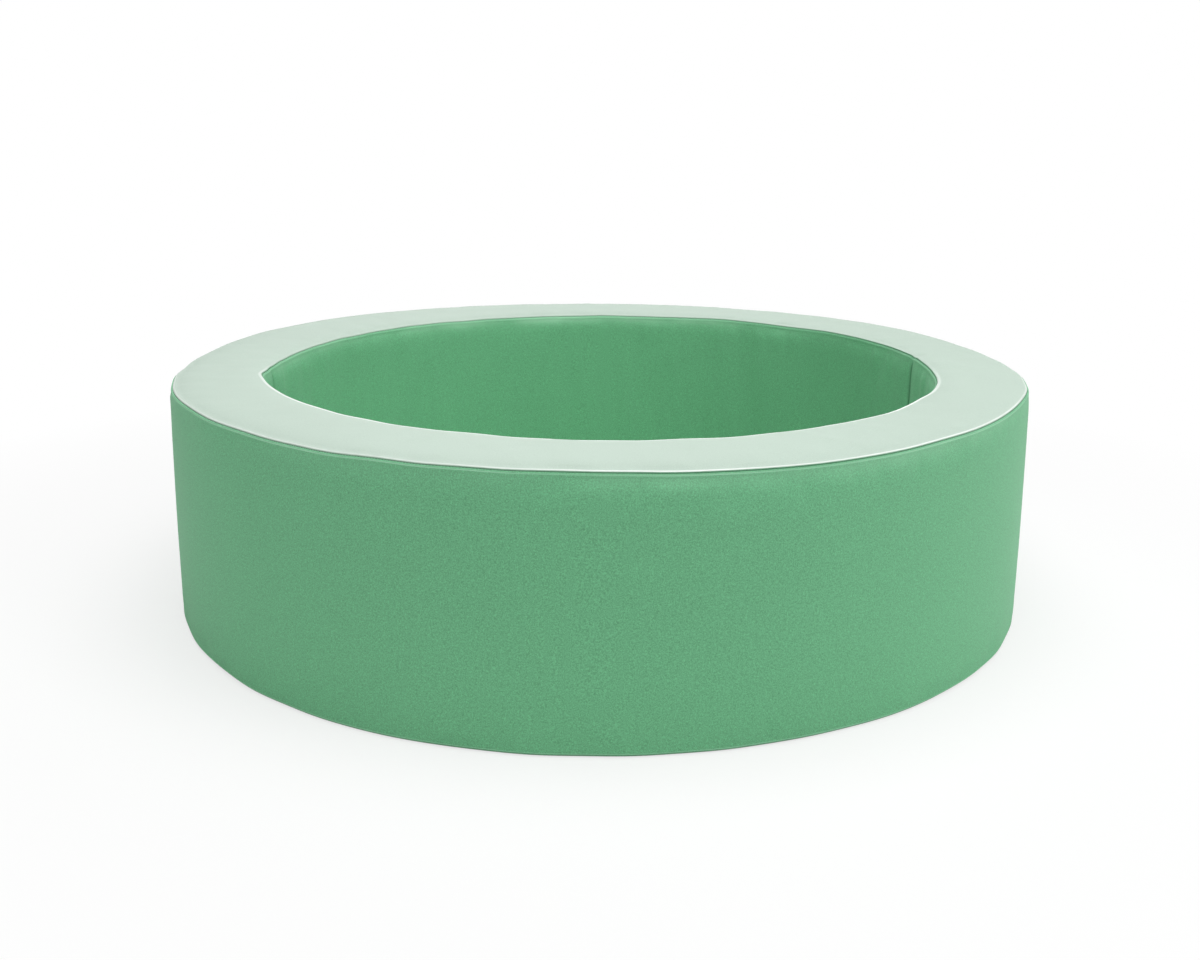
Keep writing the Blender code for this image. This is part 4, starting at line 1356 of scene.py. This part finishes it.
# %% Finishes of the zips
def woven_tape(name, colour):
    """Close woven polyester: warp threads along the tape and weft threads across it, in its own UV."""
    finish = Finish(name)
    along_across = finish.add("ShaderNodeUVMap").outputs["UV"]
    warp, weft = (finish.add("ShaderNodeTexWave", {"bands_direction": direction},
                             {"Vector": along_across, "Scale": scale}).outputs["Fac"]
                  for direction, scale in (("Y", 330.0), ("X", 460.0)))
    threads = finish.maths("MULTIPLY", warp, weft)
    height = finish.maths("MULTIPLY_ADD", finish.noise(along_across, 900.0, 2.0), 0.3, threads)
    tone = finish.mix(finish.spread(height, 0.1, 0.9), tint(colour, 0.55), tint(colour, 1.2))
    return finish.dress({
        "Base Color": tone, "Roughness": 0.85, "Normal": finish.bump(height, 0.5, 0.0003),
        "Specular IOR Level": 0.25, "Sheen Weight": 0.2, "Sheen Roughness": 0.5})


def clouded(name, colour, scale, detail, low, high, dark, strength, sockets):
    """Wire or thread: one fine noise darkens it in places and gives it its relief."""
    finish = Finish(name)
    fine = finish.noise(finish.where(), scale, detail)
    tone = finish.mix(finish.spread(fine, low, high), tint(colour, dark), tint(colour))
    return finish.dress({"Base Color": tone, "Normal": finish.bump(fine, strength, 0.0002), **sockets})


def drawn_nylon(name, colour):
    """Slightly cloudy nylon wire."""
    return clouded(name, colour, 260.0, 2.0, 0.3, 0.7, 0.8, 0.1, {
        "Roughness": 0.38, "Specular IOR Level": 0.5})


def spun_thread(name, colour):
    """Bonded polyester thread with a fine twist."""
    return clouded(name, colour, 1600.0, 1.0, 0.35, 0.65, 0.7, 0.3, {
        "Roughness": 0.6, "Sheen Weight": 0.2})


def cast_metal(name, colour):
    """Zinc casting, tumbled and nickel plated: fine brush marks and small worn patches."""
    finish = Finish(name)
    where = finish.where()
    scaled = finish.add("ShaderNodeMapping", None, {"Vector": where, "Scale": (300.0, 2400.0, 900.0)})
    brush = finish.noise(scaled.outputs[0], 1.0, 3.0)
    patch = finish.spread(finish.noise(where, 380.0, 3.0), 0.55, 0.7)
    return finish.dress({
        "Base Color": finish.mix(patch, tint(colour), tint(colour, 0.86)), "Metallic": 1.0,
        "Roughness": finish.spread(brush, 0.3, 0.7, 0.26, 0.40),
        "Normal": finish.bump(brush, 0.08, 0.0002)})


zip_tape = woven_tape("zip_tape", (0.10, 0.30, 0.16))
zip_coil = drawn_nylon("zip_coil", (0.09, 0.27, 0.145))
zip_metal = cast_metal("zip_metal", (0.66, 0.66, 0.64))
green_thread = spun_thread("green_thread", (0.10, 0.30, 0.16))
mint_thread = spun_thread("mint_thread", (0.58, 0.72, 0.62))

# %% Heights and half widths of a zip
BAIL_LOW, BAIL_HIGH, BAIL_REACH = 0.0006, 0.0014, 0.0041
PULL_AXIS = 0.0023
PLATE_LOW, PLATE_HIGH = 0.0032, 0.0042
ROW_LOW, ROW_HIGH = 0.0045, 0.0069
TAPE_LOW, TAPE_HIGH = 0.0072, 0.0080
CAP_LOW, CAP_HIGH = 0.0083, 0.0093
ROW_INNER, ROW_OUTER = 0.0012, 0.0044
TAPE_OUTER = 0.0170
LIP_INNER, LIP_OUTER = 0.0050, 0.0058
SLIDER_HALF = 0.0068
SLIDER_LENGTH = 0.015
TAPE_TAIL = 0.005
STOP_LENGTH = 0.003
STOP_ROOM = 0.003


# %% A tape
def tape(name, zip_radius, side):
    """One tape: flat, with a thick beaded edge at the coil and a selvedge at the other side."""
    across_line = [
        (ROW_INNER, 0.35), (0.0018, 1.0), (0.0040, 1.0), (0.0052, 0.72), (0.0100, 0.72),
        (0.0154, 0.72), (0.0160, 0.95), (0.0167, 0.95), (TAPE_OUTER, 0.35)]
    tail = arc_degrees(TAPE_TAIL, zip_radius)
    azimuth = np.linspace(ZIP_FROM - tail, ZIP_TO + tail, 331)
    middle, full = (TAPE_LOW + TAPE_HIGH) / 2, TAPE_HIGH - TAPE_LOW
    line = [(away, middle - thick * full / 2) for away, thick in across_line]
    line += [(away, middle + thick * full / 2) for away, thick in reversed(across_line)]
    radius = np.tile([zip_radius + side * away for away, _ in line], (len(azimuth), 1))
    height = np.tile([level for _, level in line], (len(azimuth), 1))
    if side < 0:
        azimuth, radius, height = azimuth[::-1], radius[::-1], height[::-1]
    piece = painted_mesh(name, on_circle(azimuth, radius, height), False, zip_tape, loop=True)
    layer = piece.data.uv_layers.new(name="UVMap")
    for corner in piece.data.loops:
        point = piece.data.vertices[corner.vertex_index].co
        turn = math.atan2(point.y, point.x) % TWO_PI
        layer.data[corner.index].uv = (turn * zip_radius, point.xy.length - zip_radius)
    piece.data.set_sharp_from_angle(angle=math.radians(50.0))
    return piece


# %% The coil's tree
coil = Growth("coil", {
    "Radius": "Float", "Start": "Float", "Sweep": "Float", "Turns": "Int", "Points": "Int",
    "Middle": "Float", "Half Width": "Float", "Half Height": "Float", "Level": "Float",
    "Wire": "Float", "Material": "Material"})
given = coil.given
count = coil.maths("MULTIPLY", given["Turns"], given["Points"])
arc = coil.add("GeometryNodeCurveArc", {"mode": "RADIUS"}, {
    "Resolution": coil.maths("ADD", count, 1.0), "Radius": given["Radius"],
    "Start Angle": given["Start"], "Sweep Angle": given["Sweep"]})
index = coil.add("GeometryNodeInputIndex").outputs[0]
turn_share = coil.maths("DIVIDE", index, given["Points"])
angle = coil.maths("MULTIPLY", turn_share, TWO_PI)
position = coil.add("GeometryNodeInputPosition").outputs[0]
spoke = coil.vector("NORMALIZE", {0: position})
outwards = coil.maths("MULTIPLY_ADD", coil.maths("COSINE", angle), given["Half Width"], given["Middle"])
upwards = coil.maths("MULTIPLY_ADD", coil.maths("SINE", angle), given["Half Height"], given["Level"])
raised = coil.add("ShaderNodeCombineXYZ", None, {"Z": upwards}).outputs[0]
shift = coil.vector("ADD", {0: coil.vector("SCALE", {0: spoke, "Scale": outwards}), 1: raised})
spiral = coil.add("GeometryNodeSetPosition", None, {
    "Geometry": arc.outputs["Curve"], "Offset": shift})
wire = coil.add("GeometryNodeCurvePrimitiveCircle", None, {
    "Resolution": 5, "Radius": given["Wire"]})
tube = coil.add("GeometryNodeCurveToMesh", None, {
    "Curve": spiral.outputs["Geometry"], "Profile Curve": wire.outputs["Curve"], "Fill Caps": True})
coil.finish(tube.outputs["Mesh"])

# %% The tree of stitches
stitching = Growth("stitching", {
    "Spacing": "Float", "Length": "Float", "Width": "Float", "Material": "Material"})
given = stitching.given
seam_curve = stitching.add("GeometryNodeMeshToCurve", None, {"Mesh": given["Geometry"]})
places = stitching.add("GeometryNodeCurveToPoints", {"mode": "LENGTH"}, {
    "Curve": seam_curve.outputs["Curve"], "Length": given["Spacing"]})
bead = stitching.add("GeometryNodeMeshUVSphere", None, {"Segments": 6, "Rings": 4, "Radius": 0.5})
size = stitching.add("ShaderNodeCombineXYZ", None, {
    "X": given["Width"], "Y": given["Width"], "Z": given["Length"]})
sewn = stitching.add("GeometryNodeInstanceOnPoints", None, {
    "Points": places.outputs["Points"], "Instance": bead.outputs["Mesh"],
    "Rotation": places.outputs["Rotation"], "Scale": size.outputs[0]})
stitching.finish(sewn.outputs["Instances"])

# %% Metal parts
BEVEL, PLATE_BEVEL, PULL_BEVEL, STOP_BEVEL = 0.00018, 0.0003, 0.0002, 0.0004


def from_builder(name, builder):
    """A metal piece from what a mesh builder holds."""
    bmesh.ops.recalc_face_normals(builder, faces=builder.faces)
    mesh = bpy.data.meshes.new(name)
    builder.to_mesh(mesh)
    builder.free()
    mesh.materials.append(zip_metal)
    return linked(name, mesh)


def loop_solid(name, outline, low, high, bevel=BEVEL):
    """A plate of the given outline between two heights, with rounded edges."""
    builder = bmesh.new()
    face = builder.faces.new([builder.verts.new((x, y, low)) for x, y in outline])
    raised = bmesh.ops.extrude_face_region(builder, geom=[face])
    moved = [item for item in raised["geom"] if isinstance(item, bmesh.types.BMVert)]
    bmesh.ops.translate(builder, verts=moved, vec=Vector((0.0, 0.0, high - low)))
    piece = from_builder(name, builder)
    if bevel:
        rounded = piece.modifiers.new("rounded", "BEVEL")
        rounded.width = bevel
        rounded.segments = 2
        rounded.limit_method = "ANGLE"
        rounded.angle_limit = math.radians(40.0)
        applied(piece)
    return piece


def block(name, low, high, bevel=BEVEL):
    """A box between two corners."""
    outline = [(low[0], low[1]), (high[0], low[1]), (high[0], high[1]), (low[0], high[1])]
    return loop_solid(name, outline, low[2], high[2], bevel)


def merged(piece, operation, others):
    """Join the others to the piece, or cut them from it, as one closed solid."""
    for other in others:
        step = piece.modifiers.new(other.name, "BOOLEAN")
        step.operation = operation
        step.solver = "EXACT"
        step.object = other
    bpy.context.view_layer.update()
    applied(piece)
    join_close(piece.data)
    for other in others:
        bpy.data.objects.remove(other)
    return piece


def boxy(turn, power):
    """Cosine and sine of an angle, on a rounded square in place of a circle."""
    return [math.copysign(abs(value) ** power, value) for value in (math.cos(turn), math.sin(turn))]


def smooth_outline(right, steps=4):
    """A closed outline, the same left and right, through a curve of points on its right side."""
    points = [np.array(point) for point in right]
    points = [points[0]] + points + [points[-1]]
    spans = zip(points, points[1:], points[2:], points[3:])
    curve = [between(*span, step / steps) for span in spans for step in range(steps)] + [points[-1]]
    right_side = [(float(point[0]), float(point[1])) for point in curve]
    return right_side + [(-x, y) for x, y in reversed(right_side) if x > 1e-7]


def stand_at(piece, azimuth, radius, height=0.0):
    """Put a part that was made at its own origin on the zip's arc, in its mesh."""
    turn = Matrix.Rotation(math.radians(azimuth), 4, "Z")
    piece.data.transform(turn @ Matrix.Translation((radius, 0.0, height)))
    piece.data.shade_smooth()
    piece.data.set_sharp_from_angle(angle=math.radians(35.0))
    return piece


# %% A slider and its pull
def zip_slider(name):
    """Two shield-shaped plates round the rows, their divider and lips, and the arched bail."""
    front = SLIDER_LENGTH / 2
    shield = smooth_outline([
        (0.0048, -front), (0.0057, -front * 0.90), (0.0059, -front * 0.2), (0.0067, front * 0.40),
        (SLIDER_HALF, front * 0.66), (0.0060, front * 0.90), (0.0038, front)])
    plate_middle, cap_middle = (PLATE_LOW + PLATE_HIGH) / 2, (CAP_LOW + CAP_HIGH) / 2
    lip_ends, lip_top = (0.001 - front, front * 0.45), PLATE_HIGH + 0.0016
    slider = loop_solid(name, shield, PLATE_LOW, PLATE_HIGH, PLATE_BEVEL)
    foot, crown = PLATE_LOW + PLATE_BEVEL, (BAIL_LOW + BAIL_HIGH) / 2
    arch = bail(f"{name}_bail", [
        (BAIL_REACH * math.cos(turn), foot - (foot - crown) * math.sin(turn) ** 0.45)
        for turn in np.linspace(math.pi, 0.0, 13)])
    return merged(slider, "UNION", [
        loop_solid("cap", shield, CAP_LOW, CAP_HIGH, PLATE_BEVEL),
        block("divider", (-0.0006, front - 0.005, plate_middle),
              (0.0006, front - 0.001, cap_middle), 0.0),
        block("right_lip", (LIP_INNER, lip_ends[0], plate_middle), (LIP_OUTER, lip_ends[1], lip_top)),
        block("left_lip", (-LIP_OUTER, lip_ends[0], plate_middle), (-LIP_INNER, lip_ends[1], lip_top)),
        arch])


def bail(name, arch, half_width=0.0007, half_thick=0.0004):
    """A flat strap that follows an arch of (along, height) points, with rounded edges."""
    builder = bmesh.new()
    rings = []
    for index, (along, level) in enumerate(arch):
        before, after = arch[max(index - 1, 0)], arch[min(index + 1, len(arch) - 1)]
        way = Vector((after[0] - before[0], after[1] - before[1])).normalized()
        side = Vector((-way.y, way.x))
        ring = []
        for turn in np.linspace(0.0, TWO_PI, 12, endpoint=False):
            width, thick = boxy(turn, 0.5)
            width, thick = half_width * width, half_thick * thick
            ring.append(builder.verts.new((width, along + side.x * thick, level + side.y * thick)))
        rings.append(ring)
    for near, far in zip(rings, rings[1:]):
        for index in range(len(near)):
            after = (index + 1) % len(near)
            builder.faces.new((near[index], near[after], far[after], far[index]))
    builder.faces.new(rings[0])
    builder.faces.new(rings[-1])
    return from_builder(name, builder)


def zip_pull(name):
    """A tapered tab with an eye round the bail, a hole near its tip and three ribs for the fingers."""
    thick, through = 0.0005, 0.004
    tab = smooth_outline([
        (0.0030, -thick), (0.0035, 0.0006), (0.0035, 0.0060), (0.0029, 0.0140), (0.0025, 0.0235),
        (0.0016, 0.0251), (0.0, 0.0255)])
    pull = loop_solid(name, tab, -thick, thick, PULL_BEVEL)
    turns = np.linspace(0.0, TWO_PI, 24, endpoint=False)
    hole = [(0.0012 * math.cos(turn), 0.0218 + 0.0012 * math.sin(turn)) for turn in turns]
    eye = [(0.0015 * x, 0.0030 + 0.0025 * y) for x, y in (boxy(turn, 0.6) for turn in turns)]
    merged(pull, "DIFFERENCE", [
        loop_solid("tip_hole", hole, -through, through, 0.0),
        loop_solid("eye", eye, -through, through, 0.0)])
    ribs = [block(f"rib_{row}", (-0.0019, along, -0.00062), (0.0019, along + 0.0006, 0.00062))
            for row, along in enumerate((0.0125, 0.0145, 0.0165))]
    return merged(pull, "UNION", ribs)


def stop(name, zip_radius, azimuth):
    """A small metal clamp across both rows at one end of the zip."""
    half = STOP_LENGTH / 2
    clamp = block(name, (-ROW_OUTER, -half, ROW_LOW), (ROW_OUTER, half, ROW_HIGH), STOP_BEVEL)
    return stand_at(clamp, azimuth, zip_radius)


# %% Both zips
COIL_PITCH, COIL_POINTS = 0.0022, 10
COIL_MIDDLE, COIL_HALF_WIDTH, COIL_HALF_HEIGHT = 0.00252, 0.00142, 0.00084
WIRE = 0.00034
STITCH_SPACING = 0.0040
STITCH_LENGTH = 0.0028
STITCH_WIDTH = 0.0007
SLIT_STITCH_INSET = 0.0028


def stitch_row(name, path, body, thread):
    """Stitches along a path of points, riding on a body."""
    row = stitching.grow(name, path, {
        "Spacing": STITCH_SPACING, "Length": STITCH_LENGTH, "Width": STITCH_WIDTH, "Material": thread})
    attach(row, body)


def build_zip(prefix, zip_radius):
    """Tapes, coils, stops, slider, pull and the slit's stitches of one zip."""
    for word, side in (("outer", 1.0), ("inner", -1.0)):
        strip = tape(f"{prefix}_tape_{word}", zip_radius, side)
        place(strip, prefix, f"{prefix}_zip_tape_{word}", "zip_tape")
        stop_turn = arc_degrees(STOP_LENGTH + GAP * 2, zip_radius)
        sweep = ZIP_TO - ZIP_FROM - 2 * stop_turn
        turns = round(math.radians(sweep) * zip_radius / COIL_PITCH)
        row = coil.grow(f"{prefix}_coil_{word}", [(0.0, 0.0, 0.0)], {
            "Radius": zip_radius, "Start": math.radians(ZIP_FROM + stop_turn),
            "Sweep": math.radians(sweep), "Turns": turns, "Points": COIL_POINTS,
            "Middle": side * COIL_MIDDLE, "Half Width": side * COIL_HALF_WIDTH,
            "Half Height": COIL_HALF_HEIGHT, "Level": (ROW_LOW + ROW_HIGH) / 2,
            "Wire": WIRE, "Material": zip_coil})
        place(row, prefix, f"{prefix}_zip_row_{word}", "zip_coil")
    half_stop = arc_degrees(STOP_LENGTH / 2, zip_radius)
    for word, azimuth in (("closed", ZIP_FROM + half_stop), ("open", ZIP_TO - half_stop)):
        clamp = stop(f"{prefix}_{word}_stop", zip_radius, azimuth)
        place(clamp, prefix, f"{prefix}_zip_{word}_stop", "zip_metal")
    rest = ZIP_FROM + arc_degrees(STOP_LENGTH + STOP_ROOM + SLIDER_LENGTH / 2, zip_radius)
    slider = stand_at(zip_slider(prefix + "_slider"), rest, zip_radius)
    place(slider, prefix + "_zip_slider", prefix + "_zip_slider", "zip_metal")
    pull = stand_at(zip_pull(prefix + "_pull"), rest, zip_radius, PULL_AXIS)
    place(pull, prefix + "_zip_pull", prefix + "_zip_pull", "zip_metal")
    turns = np.radians(np.linspace(ZIP_FROM, ZIP_TO, 360))
    for word, side in (("outer", 1.0), ("inner", -1.0)):
        radius = zip_radius + side * (SLIT_HALF + SLIT_STITCH_INSET)
        path = [(radius * math.cos(turn), radius * math.sin(turn), CHANNEL_LIFT) for turn in turns]
        stitch_row(f"{prefix}_slit_stitches_{word}", path, prefix, mint_thread)


build_zip("ring", RING_ZIP_RADIUS)
build_zip("mat", MAT_ZIP_RADIUS)

# %% [markdown]
# ## Stitches in the seams
#
# The panels are sewn inside out, so only a glimpse of thread shows deep in each seam. The stitches
# follow the seam as it wanders.

# %% Seam stitches
SEAM_STITCH_DEPTH = 0.0007


def seam_path(corner, count=720):
    """The line of a corner's seam, a little below its surface."""
    tip, side, level, edge = CORNERS[corner]
    azimuth = np.linspace(0.0, 360.0, count) + SEAM_AZIMUTH
    outwards, upwards = rim_shift(corner, azimuth)
    reach = math.sqrt((edge - ROLL) ** 2 - (HALF_SEAM + ROLL) ** 2) + SEAM_STITCH_DEPTH
    middle = tip - (side + level) * edge + (side + level) / math.sqrt(2) * reach
    points = on_circle(azimuth, (middle[0] + outwards)[:, None], (middle[1] + upwards)[:, None])
    return points[:, 0].tolist()


for corner in CORNERS:
    body = "mat" if corner.startswith("mat") else "ring"
    stitch_row(f"{corner}_stitches", seam_path(corner), body, green_thread)
